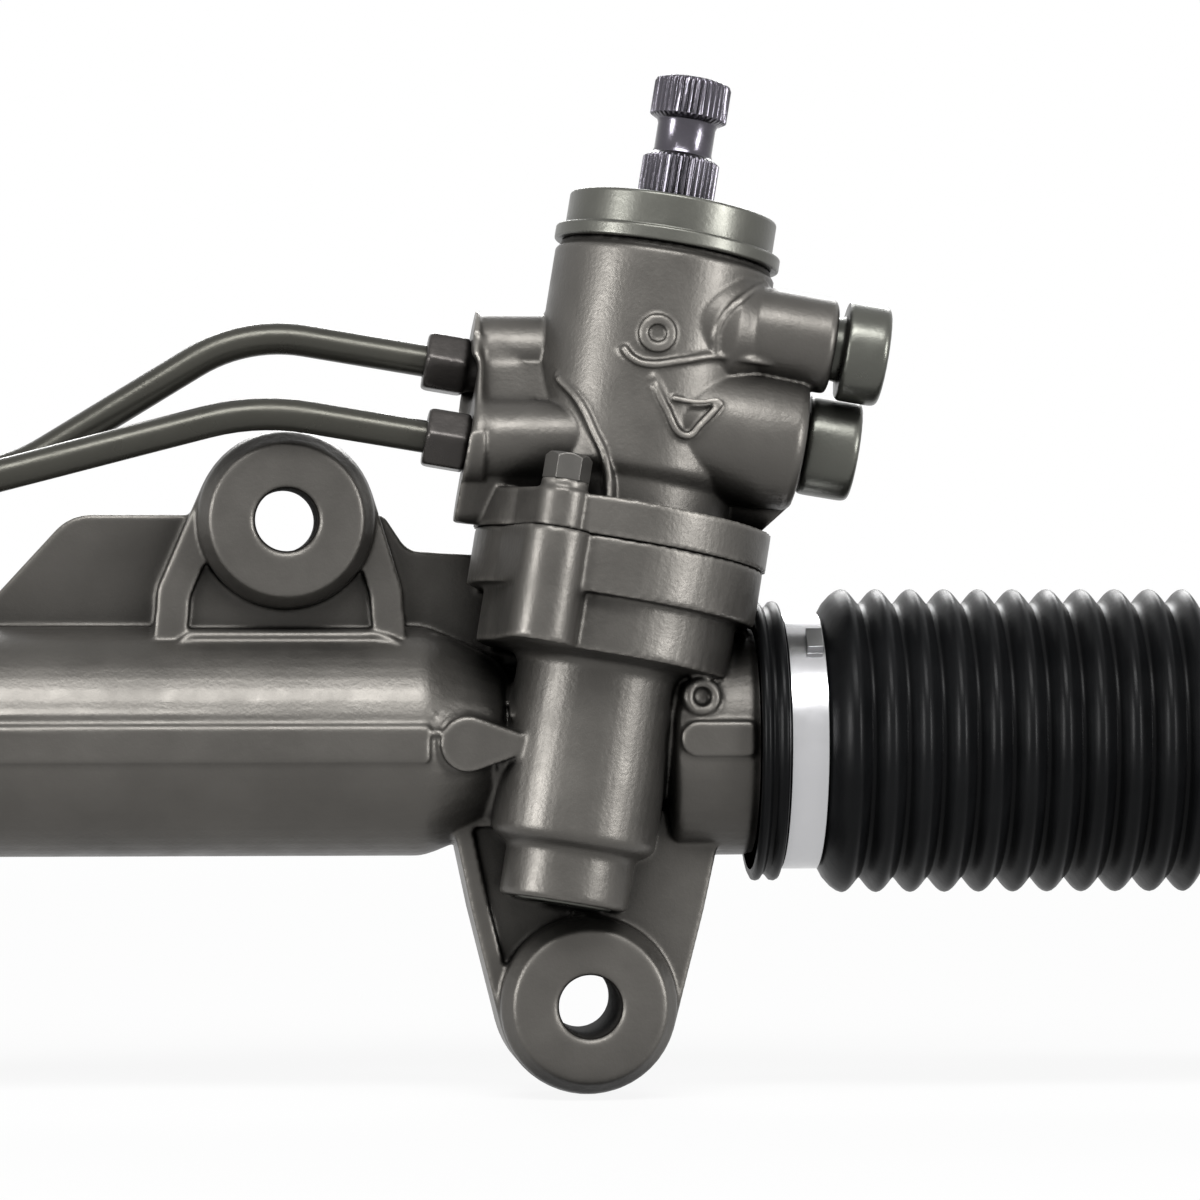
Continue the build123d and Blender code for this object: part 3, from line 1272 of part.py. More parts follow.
with BuildPart() as piston_ring:
    turn(
        RACK_LINE,
        [
            (CYLINDER_RADIUS - 2.5 + PRESS, PISTON_CENTRE - 1.95),
            (CYLINDER_RADIUS - RUNNING, PISTON_CENTRE - 1.95),
            (CYLINDER_RADIUS - RUNNING, PISTON_CENTRE + 1.95),
            (CYLINDER_RADIUS - 2.5 + PRESS, PISTON_CENTRE + 1.95),
        ],
    )
save(piston_ring, "piston_ring")

with BuildPart() as piston_circlips:
    for side in (1, -1):
        centre = PISTON_CENTRE + side * (PISTON_WIDTH + PISTON_CIRCLIP + PRESS) / 2
        with BuildSketch(RACK_LINE.offset(centre)):
            Circle(RACK_RADIUS + 2.0)
            Circle(PISTON_GROOVE_RADIUS + PRESS, mode=Mode.SUBTRACT)
            with Locations((RACK_RADIUS, 0)):
                Rectangle(8.0, 4.0, mode=Mode.SUBTRACT)
        extrude(amount=PISTON_CIRCLIP / 2 - PRESS / 2, both=True)
save(piston_circlips, "piston_circlips")

# Seals and bushes that the rack slides in
bush_start = RIGHT_END - BUSH_SEAT_DEPTH
with BuildPart() as rack_bush_right:
    turn(
        RACK_LINE,
        [(RACK_RADIUS + RUNNING, bush_start), (BUSH_SEAT_RADIUS, bush_start),
         (BUSH_SEAT_RADIUS, bush_start + BUSH_LENGTH), (RACK_RADIUS + RUNNING, bush_start + BUSH_LENGTH)],
    )
save(rack_bush_right, "rack_bush_right")

with BuildPart() as inner_rack_seal:
    turn(
        RACK_LINE,
        [
            (RACK_RADIUS + RUNNING, CYLINDER_RIGHT + 0.3),
            (SEAL_SEAT_RADIUS, CYLINDER_RIGHT + 0.3),
            (SEAL_SEAT_RADIUS, CYLINDER_RIGHT + SEAL_WIDTH),
            (RACK_RADIUS + RUNNING, CYLINDER_RIGHT + SEAL_WIDTH),
        ],
    )
save(inner_rack_seal, "inner_rack_seal")

BULKHEAD_BUSH_RADIUS = 15.0
with BuildPart() as cylinder_bulkhead:
    turn(
        RACK_LINE,
        [
            (BULKHEAD_BUSH_RADIUS + PRESS, bulkhead_back),
            (CYLINDER_RADIUS - PRESS, bulkhead_back, 0.6),
            (CYLINDER_RADIUS - PRESS, BULKHEAD_FACE, 0.6),
            (SEAL_SEAT_RADIUS - 1.0 + PRESS, BULKHEAD_FACE),
            (SEAL_SEAT_RADIUS - 1.0 + PRESS, BULKHEAD_FACE - SEAL_WIDTH),
            (RACK_RADIUS + 0.8, BULKHEAD_FACE - SEAL_WIDTH),
            (RACK_RADIUS + 0.8, BULKHEAD_FACE - SEAL_WIDTH - 2.0),
            (BULKHEAD_BUSH_RADIUS + PRESS, BULKHEAD_FACE - SEAL_WIDTH - 2.0),
        ],
    )
save(cylinder_bulkhead, "cylinder_bulkhead")

with BuildPart() as outer_rack_seal:
    turn(
        RACK_LINE,
        [
            (RACK_RADIUS + RUNNING, BULKHEAD_FACE - SEAL_WIDTH),
            (SEAL_SEAT_RADIUS - 1.0, BULKHEAD_FACE - SEAL_WIDTH),
            (SEAL_SEAT_RADIUS - 1.0, BULKHEAD_FACE - 0.3),
            (RACK_RADIUS + RUNNING, BULKHEAD_FACE - 0.3),
        ],
    )
save(outer_rack_seal, "outer_rack_seal")

with BuildPart() as rack_bush_left:
    turn(
        RACK_LINE,
        [
            (RACK_RADIUS + RUNNING, bulkhead_back + 1.0),
            (BULKHEAD_BUSH_RADIUS, bulkhead_back + 1.0),
            (BULKHEAD_BUSH_RADIUS, BULKHEAD_FACE - SEAL_WIDTH - 2.0),
            (RACK_RADIUS + RUNNING, BULKHEAD_FACE - SEAL_WIDTH - 2.0),
        ],
    )
save(rack_bush_left, "rack_bush_left")

with BuildPart() as bulkhead_circlip:
    with BuildSketch(RACK_LINE.offset(bulkhead_back - PRESS)):
        Circle(CYLINDER_RADIUS + CIRCLIP_DEPTH - PRESS)
        Circle(CYLINDER_RADIUS - 2.5, mode=Mode.SUBTRACT)
        with Locations((CYLINDER_RADIUS, 0)):
            Rectangle(10.0, 8.0, mode=Mode.SUBTRACT)
    extrude(amount=-CIRCLIP_WIDTH)
save(bulkhead_circlip, "bulkhead_circlip")

# Rack guide: a padded plunger pressed on the back of the rack by a disc spring
DISC_SPRING_HEIGHT = 2.4
GUIDE_PLUG_START = GUIDE_END + DISC_SPRING_HEIGHT + 0.1
with BuildPart() as rack_guide:
    turn(
        GUIDE_LINE,
        [
            (0, 1.0),
            (GUIDE_RADIUS, 1.0, 0.5),
            (GUIDE_RADIUS, GUIDE_END - 9.0),
            (GUIDE_RADIUS - 1.5, GUIDE_END - 9.0),
            (GUIDE_RADIUS - 1.5, GUIDE_END - 6.0),
            (GUIDE_RADIUS, GUIDE_END - 6.0),
            (GUIDE_RADIUS, GUIDE_END, 0.5),
            (0, GUIDE_END),
        ],
    )
    rod(RACK_LINE, RACK_RADIUS + RUNNING, -GUIDE_RADIUS - 1, GUIDE_RADIUS + 1, Mode.SUBTRACT)
    with BuildSketch(GUIDE_LINE):
        Rectangle(3 * GUIDE_RADIUS, 3 * GUIDE_RADIUS)
    extrude(amount=6.0, mode=Mode.SUBTRACT)
save(rack_guide, "rack_guide")

with BuildPart() as guide_oring:
    turn(
        GUIDE_LINE,
        [
            (GUIDE_RADIUS - 1.5 + PRESS, GUIDE_END - 8.9, 0.5),
            (GUIDE_RADIUS + RUNNING - PRESS, GUIDE_END - 8.9, 0.5),
            (GUIDE_RADIUS + RUNNING - PRESS, GUIDE_END - 6.1, 0.5),
            (GUIDE_RADIUS - 1.5 + PRESS, GUIDE_END - 6.1, 0.5),
        ],
    )
save(guide_oring, "guide_oring")

with BuildPart() as guide_spring:
    turn(
        GUIDE_LINE,
        [
            (6.0, GUIDE_END + DISC_SPRING_HEIGHT - 1.2),
            (12.5, GUIDE_END),
            (13.0, GUIDE_END + 1.1),
            (6.5, GUIDE_END + DISC_SPRING_HEIGHT),
        ],
    )
save(guide_spring, "guide_spring")

GUIDE_KEY_RADIUS = 8.0
with BuildPart() as guide_plug:
    turn(
        GUIDE_LINE,
        [
            (0, GUIDE_PLUG_START),
            (GUIDE_RADIUS, GUIDE_PLUG_START, 0.8),
            (GUIDE_RADIUS, GUIDE_PLUG_END, 0.8),
            (0, GUIDE_PLUG_END),
        ],
    )
    with BuildSketch(GUIDE_LINE.offset(GUIDE_PLUG_END)):
        RegularPolygon(radius=GUIDE_KEY_RADIUS, side_count=6)
    extrude(amount=-9.0, mode=Mode.SUBTRACT)
save(guide_plug, "guide_plug")

with BuildPart() as guide_lock_nut:
    hexagon(GUIDE_LINE, GUIDE_NUT_FLATS, GUIDE_BOSS_END, GUIDE_BOSS_END + GUIDE_NUT_WIDTH, 1.5)
    rod(GUIDE_LINE, GUIDE_RADIUS + PRESS, GUIDE_BOSS_END - 1, GUIDE_BOSS_END + GUIDE_NUT_WIDTH + 1,
        Mode.SUBTRACT)
save(guide_lock_nut, "guide_lock_nut")

# Both ends alike: bellows, clamps, inner ball joint and tie rod, measured outwards from the housing
RACK_FACE = TRAVEL + STOP_GAP
BALL_CENTRE = RACK_FACE + BALL_OFFSET
RING_END = CUFF_RING_WIDTH - CUFF_START
BAND_START = RING_END + 0.5
FOLDS_START = BAND_START + BAND_WIDTH + 0.5 + SHOULDER_LENGTH
FOLDS_END = FOLDS_START + (FULL_FOLDS + TAPER_FOLDS - 1) * PITCH
SMALL_CUFF_START = FOLDS_END + PITCH / 2
SMALL_CUFF_END = SMALL_CUFF_START + SMALL_CUFF_LENGTH


def crest_radius(fold):
    """The outer radius of a fold, full at first and then tapering to the tie rod."""
    taper = max(0, fold - FULL_FOLDS + 1) / TAPER_FOLDS
    return CREST_RADIUS + (SMALL_CREST_RADIUS - CREST_RADIUS) * taper


def bellows(side):
    """A rubber bellows from the housing to the tie rod."""
    outer = [
        (CUFF_RING_RADIUS, -CUFF_START, 1.0),
        (CUFF_RING_RADIUS, RING_END, 1.0),
        (CUFF_RADIUS, RING_END),
        (CUFF_RADIUS, BAND_START + BAND_WIDTH + 0.5),
    ]
    for fold in range(FULL_FOLDS + TAPER_FOLDS):
        crest = crest_radius(fold)
        place = FOLDS_START + fold * PITCH
        outer += [(crest, place - 1.3), (crest, place + 1.3)]
        if fold < FULL_FOLDS + TAPER_FOLDS - 1:
            valley = min(crest, crest_radius(fold + 1)) - FOLD_DEPTH
            outer += [(valley, place + PITCH / 2 - 0.7), (valley, place + PITCH / 2 + 0.7)]
    outer += [
        (SMALL_CUFF_RADIUS, SMALL_CUFF_START),
        (SMALL_CUFF_RADIUS, SMALL_CUFF_END, 0.8),
    ]
    inside = CREST_RADIUS - FOLD_DEPTH - BELLOWS_WALL
    small_inside = SMALL_CREST_RADIUS - FOLD_DEPTH - BELLOWS_WALL
    inner = [
        (TIE_SHANK_RADIUS + PRESS, SMALL_CUFF_END),
        (TIE_SHANK_RADIUS + PRESS, SMALL_CUFF_START),
        (small_inside, FOLDS_END - PITCH),
        (inside, FOLDS_START + (FULL_FOLDS - 1) * PITCH),
        (inside, FOLDS_START + 1.0),
        (SPIGOT_RADIUS + PRESS, 0.5),
        (SPIGOT_RADIUS + PRESS, -CUFF_START),
    ]
    turn(end_line(side), outer + inner)


def band_clamp(side):
    """The wide band round the bellows cuff, with its crimped ear."""
    line = end_line(side)
    inner = CUFF_RADIUS + PRESS
    turn(
        line,
        [(inner, BAND_START), (inner + BAND_THICKNESS, BAND_START),
         (inner + BAND_THICKNESS, BAND_START + BAND_WIDTH), (inner, BAND_START + BAND_WIDTH)],
    )
    with BuildSketch(line.offset(BAND_START + BAND_WIDTH - 4.5)) as ear:
        with PolarLocations(inner + BAND_THICKNESS + 0.8, 1, start_angle=side * 40.0):
            Rectangle(2.4, 7.0)
    extrude(ear.sketch, amount=4.0)


def small_clamp(side):
    """The narrow band round the bellows' small cuff."""
    start = SMALL_CUFF_START + 4.0
    inner = SMALL_CUFF_RADIUS + PRESS
    turn(
        end_line(side),
        [(inner, start), (inner + 0.8, start), (inner + 0.8, start + SMALL_BAND_WIDTH),
         (inner, start + SMALL_BAND_WIDTH)],
    )
    with BuildSketch(end_line(side).offset(start)) as ear:
        with PolarLocations(inner + 2.0, 1, start_angle=side * 60.0):
            Rectangle(3.2, 3.0)
    extrude(ear.sketch, amount=SMALL_BAND_WIDTH)


def ball_socket(side):
    """The socket of the inner ball joint, screwed into the end of the rack."""
    line = end_line(side)
    lip = BALL_CENTRE + SOCKET_LIP
    turn(
        line,
        [
            (0, RACK_FACE - SOCKET_STUD_LENGTH),
            (SOCKET_STUD_RADIUS - PRESS, RACK_FACE - SOCKET_STUD_LENGTH, 0.8),
            (SOCKET_STUD_RADIUS - PRESS, RACK_FACE),
            (SOCKET_RADIUS, RACK_FACE, 1.5),
            (SOCKET_RADIUS, BALL_CENTRE + 1.0, 2.0),
            (SOCKET_RADIUS - 2.5, lip, 0.6),
            (0, lip),
        ],
    )
    with Locations(line.offset(BALL_CENTRE)):
        Sphere(TIE_BALL_RADIUS + SEAT_THICKNESS + 2 * RUNNING, mode=Mode.SUBTRACT)
    flare = math.tan(math.radians(SEAT_OPENING)) * (SOCKET_LIP + 1.0)
    turn(line, [(0, BALL_CENTRE), (flare, lip + 1.0), (0, lip + 1.0)], Mode.SUBTRACT)
    with BuildSketch(line.offset(RACK_FACE + 3.0)) as flats:
        with Locations((SOCKET_RADIUS + 3.5, 0), (-SOCKET_RADIUS - 3.5, 0)):
            Rectangle(10.0, 3 * SOCKET_RADIUS)
    extrude(flats.sketch, amount=9.0, mode=Mode.SUBTRACT)


def ball_seat(side):
    """The plastic seat that turns with the ball inside its socket."""
    line = end_line(side)
    outer = TIE_BALL_RADIUS + SEAT_THICKNESS + RUNNING
    with Locations(line.offset(BALL_CENTRE)):
        Sphere(outer)
        Sphere(TIE_BALL_RADIUS + RUNNING, mode=Mode.SUBTRACT)
    flare = math.tan(math.radians(SEAT_OPENING)) * (outer + 1.0)
    turn(
        line,
        [(0, BALL_CENTRE), (flare, BALL_CENTRE + outer + 1.0), (0, BALL_CENTRE + outer + 1.0)],
        Mode.SUBTRACT,
    )


def tie_rod(side):
    """A tie rod with its ball, a plain shank with wrench flats, and a screwed outer end."""
    line = end_line(side)
    with Locations(line.offset(BALL_CENTRE)):
        Sphere(TIE_BALL_RADIUS)
    end = BALL_CENTRE + TIE_ROD_LENGTH
    thread = end - JAM_NUT_FROM_END
    turn(
        line,
        [
            (0, BALL_CENTRE),
            (TIE_NECK_RADIUS, BALL_CENTRE),
            (TIE_NECK_RADIUS, BALL_CENTRE + 24.0, 2.0),
            (TIE_SHANK_RADIUS, BALL_CENTRE + 27.0, 2.0),
            (TIE_SHANK_RADIUS, thread),
            (TIE_ROD_RADIUS, thread),
            (TIE_ROD_RADIUS, end - 1.2),
            (TIE_ROD_RADIUS - 1.2, end),
            (0, end),
        ],
    )
    with BuildSketch(line.offset(SMALL_CUFF_END + 12.0)) as flats:
        with Locations((TIE_SHANK_RADIUS + 4.3, 0), (-TIE_SHANK_RADIUS - 4.3, 0)):
            Rectangle(10.0, 3 * TIE_SHANK_RADIUS)
    extrude(flats.sketch, amount=14.0, mode=Mode.SUBTRACT)


def jam_nut(side):
    """The lock nut of the outer tie rod end, run back against the end of the thread."""
    face = BALL_CENTRE + TIE_ROD_LENGTH - JAM_NUT_FROM_END
    hexagon(end_line(side), JAM_NUT_FLATS, face - JAM_NUT_WIDTH, face, 1.2)
    rod(
        end_line(side),
        TIE_SHANK_RADIUS + SLIP,
        face - JAM_NUT_WIDTH - 1,
        face + 1,
        Mode.SUBTRACT,
    )


END_PIECES = (
    ("bellows", bellows),
    ("band_clamp", band_clamp),
    ("small_clamp", small_clamp),
    ("ball_socket", ball_socket),
    ("ball_seat", ball_seat),
    ("tie_rod", tie_rod),
    ("jam_nut", jam_nut),
)
for side, hand in ((1, "right"), (-1, "left")):
    for name, make in END_PIECES:
        with BuildPart() as piece:
            make(side)
        save(piece, f"{name}_{hand}")
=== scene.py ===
import json
import math

import bmesh
import bpy
from mathutils import Matrix, Vector


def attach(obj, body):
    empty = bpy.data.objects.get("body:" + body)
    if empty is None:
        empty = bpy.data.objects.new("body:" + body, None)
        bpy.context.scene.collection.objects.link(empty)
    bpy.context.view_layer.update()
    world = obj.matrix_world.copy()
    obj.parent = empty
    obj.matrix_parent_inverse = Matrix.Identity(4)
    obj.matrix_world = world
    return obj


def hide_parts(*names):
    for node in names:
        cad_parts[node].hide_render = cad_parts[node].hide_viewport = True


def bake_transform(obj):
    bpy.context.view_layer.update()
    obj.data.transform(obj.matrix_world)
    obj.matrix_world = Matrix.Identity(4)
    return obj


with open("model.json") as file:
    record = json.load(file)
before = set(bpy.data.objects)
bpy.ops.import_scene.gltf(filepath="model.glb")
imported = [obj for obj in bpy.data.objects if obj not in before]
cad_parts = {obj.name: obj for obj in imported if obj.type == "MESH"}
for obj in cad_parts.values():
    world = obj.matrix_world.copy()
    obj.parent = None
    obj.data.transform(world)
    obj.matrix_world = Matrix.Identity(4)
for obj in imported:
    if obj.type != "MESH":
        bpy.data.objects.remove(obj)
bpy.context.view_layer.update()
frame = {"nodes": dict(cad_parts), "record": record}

# Places of the solids, in millimetres, and the pinion axis's lean and tilt
MM = 0.001
RACK_HEIGHT = 65.0
RIGHT_END = 62.0
LEFT_END = -382.0
LEAN = math.radians(9.4)
TILT = math.radians(4.0)
PINION_DISTANCE = 16.5
MOUNT_HOLES = ((0.0, 0.0), (-74.75, 120.0), (-330.0, 0.0))

# Values at which the masks of the materials start and are full
NOISE_START, NOISE_FULL = 0.3, 0.7
RIM_START, RIM_FULL = 0.995, 0.93
CREST_START, CREST_FULL = 0.85, 0.45
HOLLOW_START, HOLLOW_FULL = 0.85, 0.30
CREST_REACH = 0.0016
HOLLOW_REACH = 0.016
SHADER_SAMPLES = 4

# The painted shade in the mounting holes reaches a little past their walls
BORE_MASK_RADIUS = 8.1
BORE_SHADE_COLOUR = (0.012, 0.011, 0.010)

# Grain of the metals
METAL_PATCH_SCALE = 35.0
METAL_GLOSS_SCALE = 120.0
METAL_GRAIN_SCALE = 900.0
METAL_GRAIN_DETAIL = 2.0
METAL_GLOSS_SPREAD = (-0.05, 0.06)

# Grain of the rubbers
BLOOM_SCALE = 22.0
BLOOM_DETAIL = 6.0
BLOOM_GAIN = 1.8
BLOOM_LIFT = 0.001
RUBBER_GLOSS_SCALE = 90.0
RUBBER_GLOSS_SPREAD = (-0.05, 0.08)
RUBBER_SPECULAR = 0.06
RUBBER_GRAIN_SCALE = 600.0
RUBBER_GRAIN_DETAIL = 3.0
RUBBER_GRAIN_DEPTH = 0.00003


# Materials
class Tree:
    """A material with a small set of ways to add and link its shader nodes."""

    def __init__(self, name):
        self.material = bpy.data.materials.new(name)
        self.material.use_nodes = True
        self.nodes = self.material.node_tree.nodes
        self.links = self.material.node_tree.links
        self.shader = self.nodes["Principled BSDF"]
        self.geometry = self.add("ShaderNodeNewGeometry")
        self.place = self.add("ShaderNodeTexCoord").outputs["Object"]

    def add(self, kind, **values):
        """Add a node and set its properties or else its inputs."""
        node = self.nodes.new(kind)
        for key, value in values.items():
            if hasattr(node, key):
                setattr(node, key, value)
            else:
                node.inputs[key.replace("_", " ")].default_value = value
        return node

    def link(self, source, target):
        self.links.new(source, target)

    def noise(self, scale, detail=4.0, roughness=0.55):
        """Noise that is fixed to the object."""
        node = self.add("ShaderNodeTexNoise", Scale=scale, Detail=detail, Roughness=roughness)
        self.link(self.place, node.inputs["Vector"])
        return node.outputs["Fac"]

    def spread(self, value, low=0.0, high=1.0, start=NOISE_START, full=NOISE_FULL):
        """Map a value, low at its start and high where it is full."""
        node = self.add("ShaderNodeMapRange", From_Min=start, From_Max=full,
                        To_Min=low, To_Max=high)
        self.link(value, node.inputs["Value"])
        return node.outputs["Result"]

    def mix(self, factor, first, second):
        """Blend two colours by a value."""
        node = self.add("ShaderNodeMix", data_type="RGBA")
        self.link(factor, node.inputs["Factor"])
        for socket, colour in (("A", first), ("B", second)):
            target = [i for i in node.inputs if i.name == socket and i.type == "RGBA"][0]
            if isinstance(colour, tuple):
                target.default_value = (*colour, 1)
            else:
                self.link(colour, target)
        return [o for o in node.outputs if o.type == "RGBA"][0]

    def larger(self, first, second):
        """The larger of two values."""
        node = self.add("ShaderNodeMath", operation="MAXIMUM")
        self.link(first, node.inputs[0])
        self.link(second, node.inputs[1])
        return node.outputs[0]

    def rim(self, soft_normal):
        """Mask of the lighter edges, part wear and part painted highlight: 1 along the edges,
        where the softened normal leaves the face's own.
        """
        dot = self.add("ShaderNodeVectorMath", operation="DOT_PRODUCT")
        self.link(soft_normal, dot.inputs[0])
        self.link(self.geometry.outputs["Normal"], dot.inputs[1])
        return self.spread(dot.outputs["Value"], start=RIM_START, full=RIM_FULL)

    def crest(self):
        """Mask of the painted highlight: 1 on the ridges and outer corners, 0 on the broad
        faces.
        """
        shade = self.add("ShaderNodeAmbientOcclusion", samples=SHADER_SAMPLES, inside=True)
        shade.inputs["Distance"].default_value = CREST_REACH
        return self.spread(shade.outputs["AO"], start=CREST_START, full=CREST_FULL)

    def hollow(self):
        """Mask of the painted shade: 1 far into corners and gaps, 0 in the open."""
        shade = self.add("ShaderNodeAmbientOcclusion", samples=SHADER_SAMPLES)
        shade.inputs["Distance"].default_value = HOLLOW_REACH
        return self.spread(shade.outputs["AO"], start=HOLLOW_START, full=HOLLOW_FULL)

    def bores(self, centres, radius):
        """Mask of the painted shade: 1 inside the mounting holes, which run along y."""
        mask = None
        for x, z in centres:
            shift = self.add("ShaderNodeVectorMath", operation="SUBTRACT")
            shift.inputs[1].default_value = (x * MM, 0, z * MM)
            self.link(self.place, shift.inputs[0])
            flat = self.add("ShaderNodeVectorMath", operation="MULTIPLY")
            flat.inputs[1].default_value = (1, 0, 1)
            self.link(shift.outputs["Vector"], flat.inputs[0])
            length = self.add("ShaderNodeVectorMath", operation="LENGTH")
            self.link(flat.outputs["Vector"], length.inputs[0])
            inside = self.add("ShaderNodeMath", operation="LESS_THAN")
            inside.inputs[1].default_value = radius * MM
            self.link(length.outputs["Value"], inside.inputs[0])
            hole = inside.outputs[0]
            mask = hole if mask is None else self.larger(mask, hole)
        return mask

    def bump(self, value, distance, normal=None):
        """Fine relief from a value, on top of another normal if one is given."""
        node = self.add("ShaderNodeBump", Strength=1.0, Distance=distance)
        self.link(value, node.inputs["Height"])
        if normal is not None:
            self.link(normal, node.inputs["Normal"])
        return node.outputs["Normal"]


def metal(name, colour, roughness, metallic, patch=0.12, bump=0.00004, edge=0.0006, wear_and_highlight=1.5,
          hollow_shade=0.5, gloss=0.5, crests=False):
    """Patchy metal with fine grain, softened edges painted lighter (wear and highlight), painted
    shade in hollows.
    """
    tree = Tree(name)
    dark = tuple(c * (1 - patch) for c in colour)
    light = tuple(min(1.0, c * (1 + patch)) for c in colour)
    worn_and_highlit = tuple(min(1.0, c * wear_and_highlight) for c in colour)
    hollow_shade_colour = tuple(c * hollow_shade for c in colour)
    bevel = tree.add("ShaderNodeBevel", samples=SHADER_SAMPLES)
    bevel.inputs["Radius"].default_value = edge
    soft_normal = bevel.outputs["Normal"]
    body = tree.mix(tree.spread(tree.noise(METAL_PATCH_SCALE)), dark, light)
    # Edges painted lighter: part rubbed wear, part painted highlight
    paint = tree.mix(tree.rim(soft_normal), body, worn_and_highlit)
    # Ridges and outer corners get a painted highlight
    if crests:
        paint = tree.mix(tree.crest(), paint, worn_and_highlit)
    # Painted shade: corners, gaps and recesses are darkened by the hollow mask
    paint = tree.mix(tree.hollow(), paint, hollow_shade_colour)
    smoothest, roughest = (roughness + change for change in METAL_GLOSS_SPREAD)
    dullness = tree.spread(tree.noise(METAL_GLOSS_SCALE), smoothest, roughest)
    if crests:
        # Painted shade: the mounting holes' walls are painted near-black and made fully rough
        bores = tree.bores(MOUNT_HOLES, BORE_MASK_RADIUS)
        paint = tree.mix(bores, paint, BORE_SHADE_COLOUR)
        dullness = tree.larger(bores, dullness)
    tree.link(paint, tree.shader.inputs["Base Color"])
    tree.link(dullness, tree.shader.inputs["Roughness"])
    tree.shader.inputs["Metallic"].default_value = metallic
    tree.shader.inputs["Specular IOR Level"].default_value = gloss
    grain = tree.noise(METAL_GRAIN_SCALE, METAL_GRAIN_DETAIL)
    tree.link(tree.bump(grain, bump, soft_normal), tree.shader.inputs["Normal"])
    return tree.material


def rubber(name, colour, roughness):
    """Black rubber with a faint bloom and moulding marks."""
    tree = Tree(name)
    bloom = tree.spread(tree.noise(BLOOM_SCALE, BLOOM_DETAIL))
    pale = tuple(c * BLOOM_GAIN + BLOOM_LIFT for c in colour)
    tree.link(tree.mix(bloom, colour, pale), tree.shader.inputs["Base Color"])
    smoothest, roughest = (roughness + change for change in RUBBER_GLOSS_SPREAD)
    dullness = tree.spread(tree.noise(RUBBER_GLOSS_SCALE), smoothest, roughest)
    tree.link(dullness, tree.shader.inputs["Roughness"])
    tree.shader.inputs["Specular IOR Level"].default_value = RUBBER_SPECULAR
    grain = tree.noise(RUBBER_GRAIN_SCALE, RUBBER_GRAIN_DETAIL)
    tree.link(tree.bump(grain, RUBBER_GRAIN_DEPTH), tree.shader.inputs["Normal"])
    return tree.material


CAST = metal("cast_aluminium", (0.076, 0.072, 0.066), 0.39, 0.8, bump=0.00006, edge=0.0008,
             wear_and_highlight=3.0, hollow_shade=0.16, gloss=0.2, crests=True)
COVER = metal("turned_cover", (0.086, 0.086, 0.076), 0.33, 0.8, patch=0.08, edge=0.0004,
              wear_and_highlight=1.8, gloss=0.3)
NUTS = metal("black_nuts", (0.036, 0.033, 0.031), 0.30, 0.7, edge=0.0006, gloss=0.3)
PIPES = metal("olive_pipe", (0.042, 0.041, 0.035), 0.30, 0.7, patch=0.08, gloss=0.2)
PLUGS = metal("olive_plugs", (0.084, 0.085, 0.075), 0.31, 0.8, patch=0.1, edge=0.0006,
              wear_and_highlight=1.8, gloss=0.3)
BOLTS = metal("zinc_bolts", (0.075, 0.072, 0.067), 0.36, 0.8, patch=0.08, edge=0.0004)
BRIGHT = metal("stainless_band", (0.50, 0.50, 0.51), 0.22, 0.95, patch=0.04, bump=0.000008,
               edge=0.0002, wear_and_highlight=1.1)
SHAFT = metal("oiled_shaft", (0.085, 0.080, 0.093), 0.20, 0.95, patch=0.1, edge=0.0003, wear_and_highlight=1.8)
GROUND = metal("ground_steel", (0.42, 0.42, 0.42), 0.28, 0.9, patch=0.05, edge=0.0003, wear_and_highlight=1.2)
RUBBER = rubber("bellows_rubber", (0.0018, 0.0019, 0.0021), 0.33)
SEALS = rubber("seal_rubber", (0.012, 0.012, 0.012), 0.5)
PLASTIC = metal("pale_plastic", (0.62, 0.60, 0.55), 0.5, 0.0, patch=0.04, wear_and_highlight=1.1)
BRONZE = metal("bronze", (0.38, 0.27, 0.13), 0.42, 0.8)

LOOKS = {
    "cast_aluminium": CAST,
    "cover_alloy": COVER,
    "dark_steel": NUTS,
    "pipe_steel": PIPES,
    "plug_steel": PLUGS,
    "bright_steel": BRIGHT,
    "shaft_steel": SHAFT,
    "ground_steel": GROUND,
    "black_rubber": RUBBER,
    "seal_rubber": SEALS,
    "seal_plastic": PLASTIC,
    "bronze": BRONZE,
}
OWN_LOOKS = {"valve_housing_bolts": BOLTS}
for entry in frame["record"]["subparts"]:
    piece = frame["nodes"][entry["node"]]
    piece.data.materials.clear()
    piece.data.materials.append(OWN_LOOKS.get(entry["node"], LOOKS[entry["material_slot"]]))


# Lines that the turned pieces follow
def line(origin, along, across):
    """A frame with its origin in metres, its z along a line and its x near another."""
    z = Vector(along).normalized()
    y = z.cross(Vector(across)).normalized()
    x = y.cross(z)
    rows = [(x[i], y[i], z[i], origin[i]) for i in range(3)]
    return Matrix((*rows, (0, 0, 0, 1)))


def end_line(side):
    """The rack line, outwards from the right (1) or left (-1) end of the housing."""
    start = RIGHT_END if side > 0 else LEFT_END
    return line((start * MM, 0, RACK_HEIGHT * MM), (side, 0, 0), (0, 0, 1))


TOWER_START = (
    0,
    -PINION_DISTANCE * math.cos(TILT) * MM,
    (RACK_HEIGHT + PINION_DISTANCE * math.sin(TILT)) * MM,
)
TOWER = line(
    TOWER_START,
    (math.sin(LEAN), math.cos(LEAN) * math.sin(TILT), math.cos(LEAN) * math.cos(TILT)),
    (math.cos(LEAN), -math.sin(LEAN) * math.sin(TILT), -math.sin(LEAN) * math.cos(TILT)),
)

# Turned pieces
SHARP_ANGLE = math.radians(32.0)
CASTING_SEGMENTS = 64


